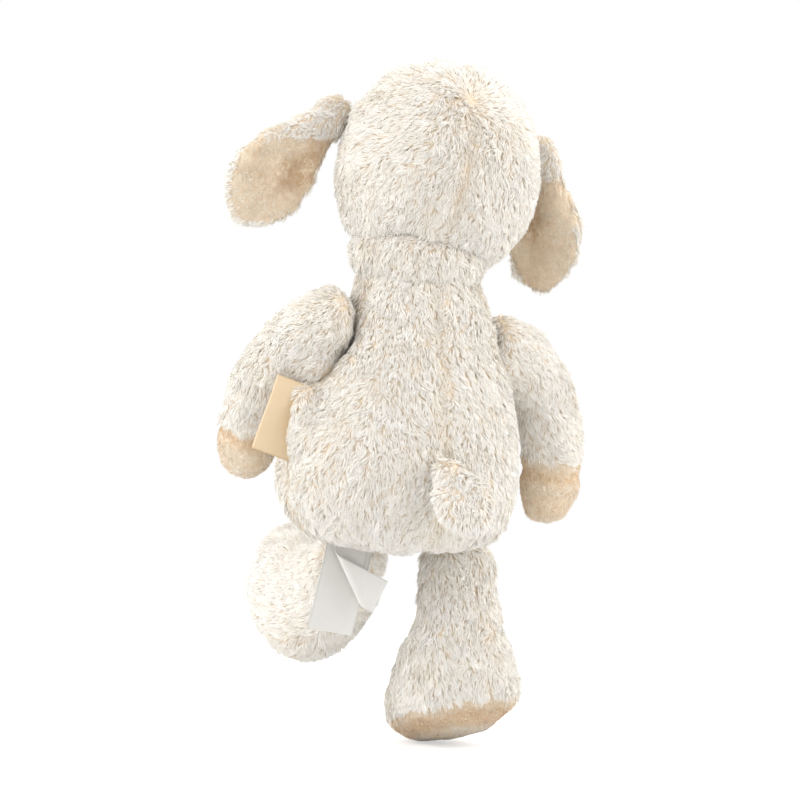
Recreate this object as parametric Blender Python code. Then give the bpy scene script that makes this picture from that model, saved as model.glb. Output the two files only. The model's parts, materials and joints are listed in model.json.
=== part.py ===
"""Plush sheep, about 34 cm tall, standing on its right foot with the left leg raised in front.

Metres, +Z up. The toy faces -Y and its own left is +X. Every skin is a shell of pile cloth sewn
from panels, filled with a separate body of stuffing. The arms, legs, ears and tail end in rounded
roots that sit in seats of the same shape, so that they can swing about their joints, and the head
turns and nods on the ball at the top of the neck.
"""

import math

import bmesh
import bpy
import numpy as np
from mathutils import Euler, Matrix, Vector
from mathutils.bvhtree import BVHTree

# Cloth, clearances and the fineness of the surfaces
PILE_CLOTH = 0.0042
SHORT_PILE_CLOTH = 0.0028
SEAM_GAP = 0.0003
STUFFING_GAP = 0.0003
SEAT_GAP = 0.0005
OVERRUN = 0.3
WELD = 0.00004
BODY_SEGMENTS = 20
LIMB_SEGMENTS = 14
SEAT_SEGMENTS = 20
SMALL_SEGMENTS = 10
ROOT_DOME_RINGS = 4

# Torso: a pear with the belly forward of a rising underside
TORSO_HEIGHT = 0.1385
TORSO_WIDTH = 0.123
TORSO_FRONT = 0.054
TORSO_BACK = 0.051
TORSO_LEAN = math.radians(1.5)
TORSO_RINGS = 11
TORSO_SWAY = 0.0095
SIDE_SEAM_SHIFT = 0.008
# Height, half width, front depth, back depth, backward shift and sway to the left of the pear,
# bottom to neck
TORSO_SHARES = (
    (0.0, 0.0, 0.0, 0.0, 0.15, 0.5),
    (0.03, 0.64, 0.37, 0.50, 0.15, 0.7),
    (0.08, 0.87, 0.60, 0.73, 0.11, 0.9),
    (0.19, 0.985, 0.89, 0.95, 0.04, 1.0),
    (0.275, 1.0, 0.98, 1.0, 0.0, 0.95),
    (0.375, 0.965, 1.0, 0.985, 0.0, 0.8),
    (0.55, 0.85, 0.91, 0.88, 0.0, 0.4),
    (0.73, 0.72, 0.74, 0.72, -0.01, 0.1),
    (0.865, 0.60, 0.60, 0.59, -0.03, 0.0),
    (0.955, 0.50, 0.545, 0.565, -0.05, 0.0),
)

# Neck: the torso ends in a ball that fills the opening under the head
NECK_RADIUS = 0.029
NECK_SHIFT = 0.003
NECK_DOME_RINGS = 5

# Head
HEAD_HEIGHT = 0.105
HEAD_WIDTH = 0.104
HEAD_FRONT = 0.054
HEAD_BACK = 0.050
HEAD_FOOT = 0.001
HEAD_SHIFT = 0.002
HEAD_TILT = math.radians(10.5)
HEAD_RINGS = 11
# Height, half width, front depth, back depth and the pointedness of the front, chin to crown
HEAD_SHARES = (
    (0.0, 0.0, 0.0, 0.0, 1.0),
    (0.05, 0.54, 0.44, 0.48, 1.0),
    (0.15, 0.81, 0.78, 0.76, 1.15),
    (0.30, 0.96, 1.05, 0.94, 1.45),
    (0.42, 0.985, 1.08, 0.99, 1.5),
    (0.55, 0.975, 0.97, 1.0, 1.3),
    (0.70, 0.895, 0.85, 0.93, 1.1),
    (0.85, 0.695, 0.68, 0.73, 1.0),
    (0.95, 0.44, 0.42, 0.45, 1.0),
    (1.0, 0.0, 0.0, 0.0, 1.0),
)
FACE_SEAM_FORWARD = 0.026
FACE_SEAM_HEIGHT = 0.040
FACE_SEAM_LEAN = math.radians(28)

# Eyes: a dome on a ribbed shank, held behind the cloth by a lock washer
EYE_RADIUS = 0.0045
EYE_CROWN = 0.0030
EYE_CROWN_STEPS = 4
EYE_SPREAD = 0.017
EYE_HEIGHT = 0.060
EYE_LOOK_OUT = math.radians(18)
SHANK_RADIUS = 0.0015
SHANK_LENGTH = 0.0120
SHANK_RIB_DEPTH = 0.0004
SHANK_RIBS = 4
SHANK_GAP = 0.0004
WASHER_GAP = 0.0009
WASHER_RADIUS = 0.0055
WASHER_THICKNESS = 0.0012
WASHER_RIM = 0.0008
WASHER_COLLAR = 0.0016
WASHER_POCKET_GAP = 0.0006

# Nose: a pad of satin stitch on the muzzle
NOSE_WIDTH = 0.017
NOSE_HEIGHT = 0.010
NOSE_THICKNESS = 0.0014
NOSE_LEVEL = 0.047

# Ears: two leaves of cloth sewn round the edge, cupped towards the back
EAR_LENGTH = 0.0705
EAR_WIDTH = 0.044
EAR_THICKNESS = 0.0072
EAR_ROOT_RADIUS = 0.0105
EAR_ROOT_SHARE = 0.5
EAR_RIM = 0.0022
EAR_RIM_GROWTH_SHARE = 3.0
EAR_CUP = 0.007
EAR_BOW = 0.002
EAR_LEAF_GAP = 0.0007
EAR_SEAT_RADIUS = 0.0125
EAR_HEIGHT_SHARES = {"left": 0.643, "right": 0.671}
EAR_STANDOFF = 0.0025
EAR_SPREAD = HEAD_WIDTH / 2 + EAR_STANDOFF
EAR_FORWARD = 0.014
EAR_RINGS = 9
EAR_SEGMENTS = 8
EAR_LIFT = {"left": math.radians(33.5), "right": math.radians(11)}
EAR_TIP_FORWARD = {"left": 0.0, "right": math.radians(9)}
EAR_TURN = {"left": math.radians(5), "right": math.radians(42)}
# Distance along the ear, half width and half thickness, root to tip
EAR_SHARES = (
    (0.0, EAR_ROOT_SHARE, 0.85),
    (0.20, 0.62, 0.85),
    (0.45, 0.93, 1.0),
    (0.66, 1.0, 1.0),
    (0.86, 0.76, 0.85),
    (0.96, 0.42, 0.5),
    (1.0, 0.0, 0.0),
)

# Arms
SHOULDER_HEIGHT = {"left": 0.1125, "right": 0.1005}
SHOULDER_SPREAD = 0.0425
SHOULDER_FORWARD = 0.002
ARM_ROOT_DEPTH = 0.008
ARM_ROOT_RADIUS = 0.0195
ARM_REACH = {"left": 0.034, "right": 0.034}
ARM_DROP = 0.091
ARM_RADIUS = 0.016
ARM_RINGS = 9
ARM_DOME_RINGS = 5
ARM_SEAT_LENGTH = 0.018
ARM_SWING = {"left": math.radians(29), "right": math.radians(12)}
CUFF_DROP = 0.062
# Outward reach, drop, radius and turn of the ring, shoulder to fingertips
ARM_SHARES = (
    (0.0, 0.0, 1.09, 0.0),
    (0.40, 0.07, 1.08, 0.42),
    (0.78, 0.26, 1.03, 0.78),
    (0.97, 0.50, 1.0, 0.98),
    (1.0, 0.68, 1.03, 1.0),
    (0.99, 0.86, 0.93, 1.0),
    (0.97, 0.965, 0.58, 1.0),
    (0.96, 1.0, 0.0, 1.0),
)

# Legs
HIP_SPREAD = 0.0275
HIP_FORWARD = 0.012
HIP_DROP = 0.001
LEG_ROOT_RADIUS = 0.009
LEG_ROOT_WIDTH = 0.0203
LEG_LENGTH = 0.088
FOOT_WIDTH = 0.0590
FOOT_TOE = 0.050
FOOT_HEEL = 0.045
FOOT_FORWARD = 0.020
FOOT_OUT = 0.0092
TOE_IN = math.radians(14)
SOLE_TILT = math.radians(14)
SOLE_CROWN = 0.007
FOOT_FLAT = 0.0005
LEG_RINGS = 9
LEG_SWING = {"left": math.radians(55), "right": 0.0}
# Distance down the leg, half width, half depth forward, half depth back, forward shift and tilt
LEG_SHARES = (
    (0.0, 0.0, 0.0, 0.0, 0.0, 0.0),
    (0.15, 0.69, 0.34, 0.34, 0.0, 0.0),
    (0.32, 0.70, 0.46, 0.47, 0.06, 0.0),
    (0.45, 0.79, 0.56, 0.58, 0.20, 0.1),
    (0.58, 0.92, 0.76, 0.74, 0.52, 0.3),
    (0.74, 1.0, 0.95, 0.92, 0.88, 0.6),
    (0.88, 1.0, 1.0, 0.98, 1.0, 0.85),
    (1.0, 0.93, 0.95, 0.93, 1.0, 1.0),
)
# Depth below the seam and size of the sole, seam to lowest point
SOLE_SHARES = ((0.45, 0.80), (0.85, 0.48), (1.0, 0.0))

# Tail
TAIL_LENGTH = 0.036
TAIL_WIDTH = 0.030
TAIL_THICKNESS = 0.016
TAIL_ROOT_RADIUS = 0.0085
TAIL_ROOT_OUT = 0.0052
TAIL_HEIGHT = 0.041
TAIL_LIFT = math.radians(36)
TAIL_LEAN = math.radians(20)
TAIL_MOUTH_RADIUS = 0.003
TAIL_RINGS = 6
# Distance along the tail, half width and half thickness, root to tip
TAIL_SHARES = (
    (0.0, 0.57, 0.85),
    (0.30, 0.90, 1.0),
    (0.60, 1.0, 1.0),
    (0.88, 0.62, 0.66),
    (1.0, 0.0, 0.0),
)

# Labels: a folded ribbon in the left side seam and two care labels under the bottom
RIBBON_WIDTH = 0.038
RIBBON_PROUD = 0.0160
RIBBON_CLOTH = 0.0006
RIBBON_FOLD_GAP = 0.0010
RIBBON_HEIGHT = 0.064
RIBBON_SLOPE = math.radians(-19)
RIBBON_TUCK = 0.0035
LABEL_CLOTH = 0.0006
LABEL_WIDTH = 0.0235
LABEL_LENGTH = 0.043
LABEL_SPREAD = 0.035
LABEL_TUCK = 0.0035
LABEL_SWAY = 0.006
LABEL_SLOPE = math.radians(-10)
CURL_WIDTH = 0.0175
CURL_LENGTH = 0.035
CURL_BACK = 0.0026
CURL_RADIUS = 0.0022
CURL_STRAIGHT = 0.0105
CURL_FOLD = math.radians(53)
LABEL_ROWS = 14
LABEL_COLUMNS = 5
RIBBON_STEPS = 4
LABEL_SLOT_GAP = 0.0005

COLOURS = {
    "cream": ((0.90, 0.86, 0.79), 0.95),
    "tan": ((0.78, 0.66, 0.52), 0.95),
    "fibre": ((0.93, 0.93, 0.92), 1.0),
    "satin": ((0.91, 0.82, 0.63), 0.45),
    "white_satin": ((0.88, 0.88, 0.87), 0.45),
    "black_plastic": ((0.02, 0.02, 0.02), 0.12),
    "clear_plastic": ((0.80, 0.82, 0.84), 0.30),
    "thread": ((0.32, 0.20, 0.14), 0.60),
}
SIDES = {"left": 1, "right": -1}


def clear_scene():
    for item in list(bpy.data.objects):
        bpy.data.objects.remove(item, do_unlink=True)


def material(name):
    """A plain material of one of the toy's colours, made once."""
    made = bpy.data.materials.get(name)
    if made:
        return made
    colour, roughness = COLOURS[name]
    made = bpy.data.materials.new(name)
    made.use_nodes = True
    made.diffuse_color = (*colour, 1.0)
    shader = made.node_tree.nodes["Principled BSDF"]
    shader.inputs["Base Color"].default_value = (*colour, 1.0)
    shader.inputs["Roughness"].default_value = roughness
    shader.inputs["Metallic"].default_value = 0.0
    return made


def frame(name, parent, place=(0, 0, 0), turn=(0, 0, 0)):
    """An empty that carries the pieces of one part of the toy."""
    empty = bpy.data.objects.new(name, None)
    empty.location = place
    empty.rotation_euler = turn
    empty.parent = parent
    bpy.context.collection.objects.link(empty)
    return empty


def new_object(name, mesh, parent, colour):
    item = bpy.data.objects.new(name, mesh)
    item.parent = parent
    item.data.materials.append(material(colour))
    bpy.context.collection.objects.link(item)
    return item


def finish_mesh(name, shape):
    """Closes a bmesh into a smooth mesh with its faces outwards."""
    bmesh.ops.recalc_face_normals(shape, faces=shape.faces)
    mesh = bpy.data.meshes.new(name)
    shape.to_mesh(mesh)
    shape.free()
    mesh.shade_smooth()
    mesh.set_sharp_from_angle(angle=math.radians(50))
    return mesh


def as_cutter(item):
    item.hide_render = True
    item.display_type = "WIRE"
    return item


def boolean(item, tool, operation):
    step = item.modifiers.new(operation.title(), "BOOLEAN")
    step.operation = operation
    step.object = tool
    return item


def cut(item, *tools):
    for tool in tools:
        boolean(item, tool, "DIFFERENCE")
    return item


def keep(item, *tools):
    for tool in tools:
        boolean(item, tool, "INTERSECT")
    return item


def smooth(rows, count, start_round, end_round):
    """Evenly spaced rings on a smooth curve through the rows.

    A row is a centre, half width, front depth, back depth, pointedness and the three angles of
    the ring. A round end closes at a pole, and the other kind leaves straight, for a dome to
    follow on.
    """
    rows = np.array(rows, dtype=float)

    def beyond(end, inner, is_round):
        guide = inner.copy()
        if is_round:
            guide[3:6] = -inner[3:6]
        else:
            guide[:3] = end[:3] + end[:3] - inner[:3]
        return guide

    points = np.vstack(
        [beyond(rows[0], rows[1], start_round), rows, beyond(rows[-1], rows[-2], end_round)]
    )
    fine = []
    steps = np.linspace(0, 1, 24, endpoint=False)
    for before, first, second, after in zip(points, points[1:], points[2:], points[3:]):
        for t in steps:
            fine.append(
                0.5
                * (
                    2 * first
                    + (second - before) * t
                    + (2 * before - 5 * first + 4 * second - after) * t**2
                    + (3 * first - before - 3 * second + after) * t**3
                )
            )
    fine.append(rows[-1])
    fine = np.array(fine)
    along = np.concatenate([[0], np.cumsum(np.linalg.norm(np.diff(fine[:, :4], axis=0), axis=1))])
    wanted = np.linspace(0, along[-1], count + 1)
    return np.array([np.interp(wanted, along, column) for column in fine.T]).T


def inset_rings(rings, upward, depth):
    """The rings of a surface that lies the given depth inside, or outside where it is negative."""
    moved = rings.copy()
    last = len(rings) - 1
    for index in range(last + 1):
        before = rings[max(index - 1, 0)]
        after = rings[min(index + 1, last)]
        climb = np.linalg.norm(after[:3] - before[:3])
        axis = np.array(Euler(rings[index][7:10]).to_matrix().col[2])
        widening = after[3:6] - before[3:6]
        is_pole = rings[index][3:6].max() <= 0
        for column in range(3):
            share = 0 if is_pole else climb / math.hypot(climb, widening[column])
            moved[index][3 + column] -= depth * share
        slope = widening.mean()
        if is_pole:
            slope = 1.0 if index == 0 else -1.0
            climb = 0.0
        moved[index][:3] += upward * axis * depth * slope / math.hypot(climb, slope)
    return moved


def join_rings(shape, previous, current):
    """Triangles between two rings of corners, split the same way on every skin of a piece."""
    for step in range(max(len(previous), len(current))):
        first = previous[step % len(previous)]
        second = previous[(step + 1) % len(previous)]
        third = current[(step + 1) % len(current)]
        fourth = current[step % len(current)]
        for corners in ((first, second, third), (first, third, fourth)):
            if len(set(corners)) == len(corners):
                shape.faces.new(corners)


def loft(name, rings, segments, side=1):
    """A closed skin over a row of rings, capped where an end is no pole. Side -1 mirrors it."""
    shape = bmesh.new()
    previous = None
    for ring in rings:
        half_width, front, back, point = ring[3:7]
        centre = Vector(ring[:3])
        if half_width <= 0:
            current = [shape.verts.new((centre.x * side, centre.y, centre.z))]
        else:
            turned = Euler(ring[7:10]).to_matrix()
            current = []
            for step in range(segments):
                angle = 2 * math.pi * (step + 0.5) / segments
                across, deep = math.cos(angle), math.sin(angle)
                reach = back * deep if deep > 0 else -front * (-deep) ** point
                spot = centre + turned @ Vector((half_width * across, reach, 0))
                current.append(shape.verts.new((spot.x * side, spot.y, spot.z)))
        if previous is None and len(current) > 1:
            shape.faces.new(current)
        if previous is not None:
            join_rings(shape, previous, current)
        previous = current
    if len(previous) > 1:
        shape.faces.new(previous)
    return finish_mesh(name, shape)


def ball(name, parent, place, radii, segments=SEAT_SEGMENTS):
    """A cutter or filling in the shape of an ellipsoid that holds the true one inside."""
    shape = bmesh.new()
    bmesh.ops.create_uvsphere(shape, u_segments=segments, v_segments=segments // 2, radius=1)
    swell = 1 / math.cos(math.pi / segments) ** 2
    sizes = [radius * swell for radius in radii]
    bmesh.ops.transform(
        shape, matrix=Matrix.Translation(place) @ Matrix.Diagonal((*sizes, 1)), verts=shape.verts
    )
    item = new_object(name, finish_mesh(name, shape), parent, "fibre")
    return as_cutter(item)


def half_space(name, parent, place, normal):
    """A large block that fills everything on the far side of a plane."""
    shape = bmesh.new()
    bmesh.ops.create_cube(shape, size=1)
    turn = Vector(normal).to_track_quat("Z", "Y").to_matrix().to_4x4()
    block = Matrix.Translation(place) @ turn @ Matrix.Translation((0, 0, OVERRUN / 2))
    bmesh.ops.transform(
        shape, matrix=block @ Matrix.Diagonal((OVERRUN, OVERRUN, OVERRUN, 1)), verts=shape.verts
    )
    return as_cutter(new_object(name, finish_mesh(name, shape), parent, "fibre"))


def lathe(name, parent, profile, matrix, colour, segments=SMALL_SEGMENTS):
    """A turned piece: the profile of (radius, height) points is spun about the local Z axis."""
    shape = bmesh.new()
    corners = [shape.verts.new((radius, 0, height)) for radius, height in profile]
    edges = [shape.edges.new(pair) for pair in zip(corners, corners[1:])]
    if profile[0][0] > 0:
        edges.append(shape.edges.new((corners[-1], corners[0])))
    bmesh.ops.spin(
        shape,
        geom=corners + edges,
        axis=(0, 0, 1),
        cent=(0, 0, 0),
        steps=segments,
        angle=2 * math.pi,
        use_merge=True,
    )
    bmesh.ops.remove_doubles(shape, verts=shape.verts, dist=WELD)
    bmesh.ops.transform(shape, matrix=matrix, verts=shape.verts)
    return new_object(name, finish_mesh(name, shape), parent, colour)


def shell(name, parent, rings, segments, thickness, upward, side=1):
    """Returns a maker of panels from one sewn skin, the skin being hollow for its stuffing."""
    outer = loft(name + "_outer", rings, segments, side)
    inner_mesh = loft(name + "_inner", inset_rings(rings, upward, thickness), segments, side)
    inner = as_cutter(new_object(name + "_hollow", inner_mesh, parent, "fibre"))

    def panel(panel_name, colour):
        item = new_object(panel_name, outer.copy(), parent, colour)
        return cut(item, inner)

    return panel


def stuffing(name, parent, rings, segments, depth, upward, side=1):
    mesh = loft(name, inset_rings(rings, upward, depth + STUFFING_GAP), segments, side)
    return new_object(name, mesh, parent, "fibre")


def torso_rings():
    rows = []
    for height, width, front, back, shift, sway in TORSO_SHARES:
        rows.append(
            (
                TORSO_SWAY * sway,
                TORSO_BACK * shift,
                TORSO_HEIGHT * height,
                TORSO_WIDTH / 2 * width,
                TORSO_FRONT * front,
                TORSO_BACK * back,
                1,
                0,
                0,
                0,
            )
        )
    rows.append(
        (0, -NECK_SHIFT, TORSO_HEIGHT, NECK_RADIUS, NECK_RADIUS, NECK_RADIUS, 1, 0, 0, 0)
    )
    pear = smooth(rows, TORSO_RINGS, True, False)
    dome = []
    for step in range(1, NECK_DOME_RINGS + 1):
        angle = math.pi / 2 * step / NECK_DOME_RINGS
        radius = NECK_RADIUS * math.cos(angle) if step < NECK_DOME_RINGS else 0
        height = TORSO_HEIGHT + NECK_RADIUS * math.sin(angle)
        dome.append((0, -NECK_SHIFT, height, radius, radius, radius, 1, 0, 0, 0))
    return np.vstack([pear, dome])


def head_rings():
    rows = []
    for height, width, front, back, point in HEAD_SHARES:
        rows.append(
            (
                0,
                -HEAD_SHIFT,
                HEAD_FOOT + HEAD_HEIGHT * height,
                HEAD_WIDTH / 2 * width,
                HEAD_FRONT * front,
                HEAD_BACK * back,
                point,
                0,
                0,
                0,
            )
        )
    return smooth(rows, HEAD_RINGS, True, True)


def arm_rings(reach_out):
    rows = []
    for reach, drop, radius, turn in ARM_SHARES:
        size = ARM_RADIUS * radius
        rows.append(
            (
                reach_out * reach,
                0,
                -ARM_DROP * drop,
                size,
                size,
                size,
                1,
                0,
                math.pi / 2 * (1 + turn),
                0,
            )
        )
    root = ARM_ROOT_RADIUS
    rows[0] = (0, 0, 0, root, root, root, 1, 0, math.pi / 2, 0)
    shaft = smooth(rows, ARM_RINGS, False, True)
    dome = []
    for step in range(ARM_DOME_RINGS):
        angle = math.pi / 2 * step / ARM_DOME_RINGS
        size = root * math.sin(angle)
        inward = -ARM_ROOT_DEPTH * math.cos(angle)
        dome.append((inward, 0, 0, size, size, size, 1, 0, math.pi / 2, 0))
    return np.vstack([dome, shaft])


def leg_rings():
    rows = []
    for drop, width, front, back, forward, tilt in LEG_SHARES:
        rows.append(
            (
                (FOOT_OUT - FOOT_FORWARD * math.sin(TOE_IN)) * forward,
                -FOOT_FORWARD * math.cos(TOE_IN) * forward,
                -LEG_LENGTH * drop,
                FOOT_WIDTH / 2 * width,
                FOOT_TOE * front,
                FOOT_HEEL * back,
                1,
                SOLE_TILT * tilt,
                0,
                -TOE_IN * tilt,
            )
        )
    rows[0] = (0, 0, 0, LEG_ROOT_WIDTH, LEG_ROOT_RADIUS, LEG_ROOT_RADIUS, 1, 0, 0, 0)
    seam = rows[-1]
    below = -Euler(seam[7:10]).to_matrix().col[2]
    for drop, size in SOLE_SHARES:
        rows.append(
            (
                seam[0] + SOLE_CROWN * drop * below.x,
                seam[1] + SOLE_CROWN * drop * below.y,
                seam[2] + SOLE_CROWN * drop * below.z,
                seam[3] * size,
                seam[4] * size,
                seam[5] * size,
                *seam[6:],
            )
        )
    shaft = smooth(rows, LEG_RINGS + len(SOLE_SHARES), False, True)
    dome = []
    for step in range(ROOT_DOME_RINGS):
        angle = math.pi / 2 * step / ROOT_DOME_RINGS
        thin = LEG_ROOT_RADIUS * math.sin(angle)
        wide = LEG_ROOT_WIDTH * math.sin(angle)
        dome.append((0, 0, LEG_ROOT_RADIUS * math.cos(angle), wide, thin, thin, 1, 0, 0, 0))
    return np.vstack([dome, shaft])


def tail_rings():
    rows = []
    for along, width, thick in TAIL_SHARES:
        half = TAIL_THICKNESS / 2 * thick
        rows.append((0, 0, -TAIL_LENGTH * along, TAIL_WIDTH / 2 * width, half, half, 1, 0, 0, 0))
    root = TAIL_ROOT_RADIUS
    rows[0] = (0, 0, 0, root, root, root, 1, 0, 0, 0)
    shaft = smooth(rows, TAIL_RINGS, False, True)
    dome = []
    for step in range(ROOT_DOME_RINGS):
        angle = math.pi / 2 * step / ROOT_DOME_RINGS
        size = root * math.sin(angle)
        dome.append((0, 0, root * math.cos(angle), size, size, size, 1, 0, 0, 0))
    return np.vstack([dome, shaft])


def ear_layer(name, parent, side, is_inner):
    """One leaf of an ear, flat side to flat side with the other, then cupped together.

    The inner leaf is the tan one that looks backwards, and it is narrower all round by the rim.
    """
    half_gap = EAR_LEAF_GAP / 2
    facing = 1 if is_inner else -1
    rows = []
    for step in range(ROOT_DOME_RINGS):
        angle = math.pi / 2 * step / ROOT_DOME_RINGS
        size = EAR_ROOT_RADIUS * math.sin(angle)
        thick = EAR_THICKNESS / 2 * EAR_SHARES[0][2] * math.sin(angle)
        rows.append((EAR_ROOT_RADIUS * math.cos(angle), size, thick))
    table = []
    for along, width, thick in EAR_SHARES:
        half = EAR_THICKNESS / 2 * thick
        table.append((0, 0, -EAR_LENGTH * along, EAR_WIDTH / 2 * width, half, half, 1, 0, 0, 0))
    for ring in smooth(table, EAR_RINGS, False, True):
        rows.append((ring[2], ring[3], ring[4]))
    shape = bmesh.new()
    previous = None
    rim = EAR_RIM if is_inner else 0
    for height, half_width, thick in rows:
        share = min(max(-height / EAR_LENGTH, 0), 1)
        level = height + rim if height < -EAR_LENGTH / 2 else height
        if half_width <= 0 or height == rows[0][0]:
            spots = [(0, facing * half_gap)]
        else:
            narrow = half_width - rim * min(1, EAR_RIM_GROWTH_SHARE * share)
            spots = []
            for step in range(EAR_SEGMENTS + 1):
                angle = math.pi * step / EAR_SEGMENTS
                reach = max(thick * math.sin(angle), 0)
                spots.append((narrow * math.cos(angle), facing * (half_gap + reach)))
            for step in range(1, EAR_SEGMENTS // 2):
                across = 2 * step / (EAR_SEGMENTS // 2) - 1
                spots.append((half_width * across, facing * half_gap))
        current = []
        for across, deep in spots:
            cup = EAR_CUP * (across / (EAR_WIDTH / 2)) ** 2 * math.sin(math.pi / 2 * share)
            bowed = across + EAR_BOW * math.sin(math.pi * share)
            current.append(shape.verts.new((bowed * side, deep + cup, level)))
        if previous is not None:
            join_rings(shape, previous, current)
        previous = current
    return new_object(name, finish_mesh(name, shape), parent, "tan" if is_inner else "cream")


def surface_at(mesh, start, direction):
    """Where a ray from inside leaves a surface, and the way that the surface faces there."""
    shape = bmesh.new()
    shape.from_mesh(mesh)
    tree = BVHTree.FromBMesh(shape)
    shape.free()
    spot, normal, _, _ = tree.ray_cast(Vector(start), Vector(direction).normalized())
    return spot, normal


def make_torso(body):
    rings = torso_rings()
    panel = shell("torso", body, rings, BODY_SEGMENTS, PILE_CLOTH, 1)
    half = SEAM_GAP / 2
    seam = SIDE_SEAM_SHIFT
    behind = half_space("behind_side_seam", body, (0, seam + half, 0), (0, 1, 0))
    before = half_space("before_side_seam", body, (0, seam - half, 0), (0, -1, 0))
    leftward = half_space("left_of_back_seam", body, (half, 0, 0), (1, 0, 0))
    rightward = half_space("right_of_back_seam", body, (-half, 0, 0), (-1, 0, 0))
    pieces = {
        "back_left": keep(panel("torso_back_left", "cream"), behind, leftward),
        "back_right": keep(panel("torso_back_right", "cream"), behind, rightward),
        "belly": keep(panel("torso_belly", "cream"), before),
    }
    filling = stuffing("torso_stuffing", body, rings, BODY_SEGMENTS, PILE_CLOTH, 1)
    pieces["stuffing"] = filling
    return pieces


def make_neck(body, torso):
    """The ball of stuffing at the top of the neck, round the point where the head turns."""
    radius = NECK_RADIUS - PILE_CLOTH - STUFFING_GAP
    swell = math.cos(math.pi / SEAT_SEGMENTS) ** 2
    shape = bmesh.new()
    bmesh.ops.create_uvsphere(
        shape, u_segments=BODY_SEGMENTS, v_segments=SMALL_SEGMENTS, radius=radius * swell
    )
    new_object("neck_stuffing", finish_mesh("neck_stuffing", shape), body, "fibre")
    seat = [radius + SEAT_GAP] * 3
    cut(torso["stuffing"], ball("neck_stuffing_seat", body, (0, 0, 0), seat))


def make_head(body):
    rings = head_rings()
    panel = shell("head", body, rings, BODY_SEGMENTS, PILE_CLOTH, 1)
    half = SEAM_GAP / 2
    normal = Vector((0, -math.cos(FACE_SEAM_LEAN), -math.sin(FACE_SEAM_LEAN)))
    middle = Vector((0, -FACE_SEAM_FORWARD, FACE_SEAM_HEIGHT))
    face_side = half_space("face_side", body, middle + normal * half, normal)
    wool_side = half_space("wool_side", body, middle - normal * half, -normal)
    leftward = half_space("left_of_head_seam", body, (half, 0, 0), (1, 0, 0))
    rightward = half_space("right_of_head_seam", body, (-half, 0, 0), (-1, 0, 0))
    socket = ball("neck_socket", body, (0, 0, 0), [NECK_RADIUS + SEAT_GAP] * 3)
    pieces = {
        "left": keep(cut(panel("head_back_left", "cream"), socket), wool_side, leftward),
        "right": keep(cut(panel("head_back_right", "cream"), socket), wool_side, rightward),
        "face": keep(cut(panel("face_panel", "tan"), socket), face_side),
    }
    filling = stuffing("head_stuffing", body, rings, BODY_SEGMENTS, PILE_CLOTH, 1)
    pieces["stuffing"] = cut(filling, socket)
    return rings, pieces


def make_eyes(body, rings, head):
    outer = loft("eye_guide", rings, BODY_SEGMENTS)
    for name, side in SIDES.items():
        start = (0, -HEAD_SHIFT, EYE_HEIGHT)
        depth = HEAD_FRONT * math.cos(EYE_LOOK_OUT)
        spot, normal = surface_at(outer, start, (EYE_SPREAD * side, -depth, 0))
        upright = normal.to_track_quat("Z", "Y").to_matrix().to_4x4()
        place = Matrix.Translation(spot + normal * SEAM_GAP) @ upright
        crown = []
        for step in range(EYE_CROWN_STEPS):
            angle = math.pi / 2 * step / EYE_CROWN_STEPS
            crown.append((EYE_RADIUS * math.sin(angle), EYE_CROWN * math.cos(angle)))
        profile = crown + [(EYE_RADIUS, 0), (SHANK_RADIUS, 0)]
        rib = (SHANK_LENGTH - PILE_CLOTH) / SHANK_RIBS / 2
        level = -PILE_CLOTH
        for _ in range(SHANK_RIBS):
            profile.append((SHANK_RADIUS, level))
            profile.append((SHANK_RADIUS - SHANK_RIB_DEPTH, level - rib))
            level -= 2 * rib
        profile.append((0, level))
        lathe("eye_" + name, body, profile, place, "black_plastic")

        back = -PILE_CLOTH - WASHER_GAP
        hole_radius = SHANK_RADIUS + SHANK_GAP
        mouth = back - PILE_CLOTH
        bore = [(0, EYE_CROWN), (hole_radius, EYE_CROWN), (hole_radius, mouth), (0, mouth)]
        hole = as_cutter(lathe("shank_hole_" + name, body, bore, place, "fibre"))
        washer = [
            (hole_radius, back),
            (WASHER_RADIUS - WASHER_RIM, back),
            (WASHER_RADIUS, back - WASHER_RIM / 2),
            (WASHER_RADIUS - WASHER_RIM, back - WASHER_THICKNESS),
            (SHANK_RADIUS + WASHER_COLLAR, back - WASHER_THICKNESS),
            (hole_radius, back - WASHER_THICKNESS - WASHER_RIM),
        ]
        lathe("eye_washer_" + name, body, washer, place, "clear_plastic", LIMB_SEGMENTS)
        wide = WASHER_RADIUS + WASHER_POCKET_GAP
        deep = back - WASHER_THICKNESS - WASHER_RIM - WASHER_POCKET_GAP
        foot = level - rib
        hollow = [(0, 0), (wide, 0), (wide, deep), (hole_radius, deep), (hole_radius, foot), (0, foot)]
        pocket = as_cutter(lathe("washer_pocket_" + name, body, hollow, place, "fibre"))
        cut(head["face"], hole)
        cut(head["stuffing"], pocket)


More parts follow.
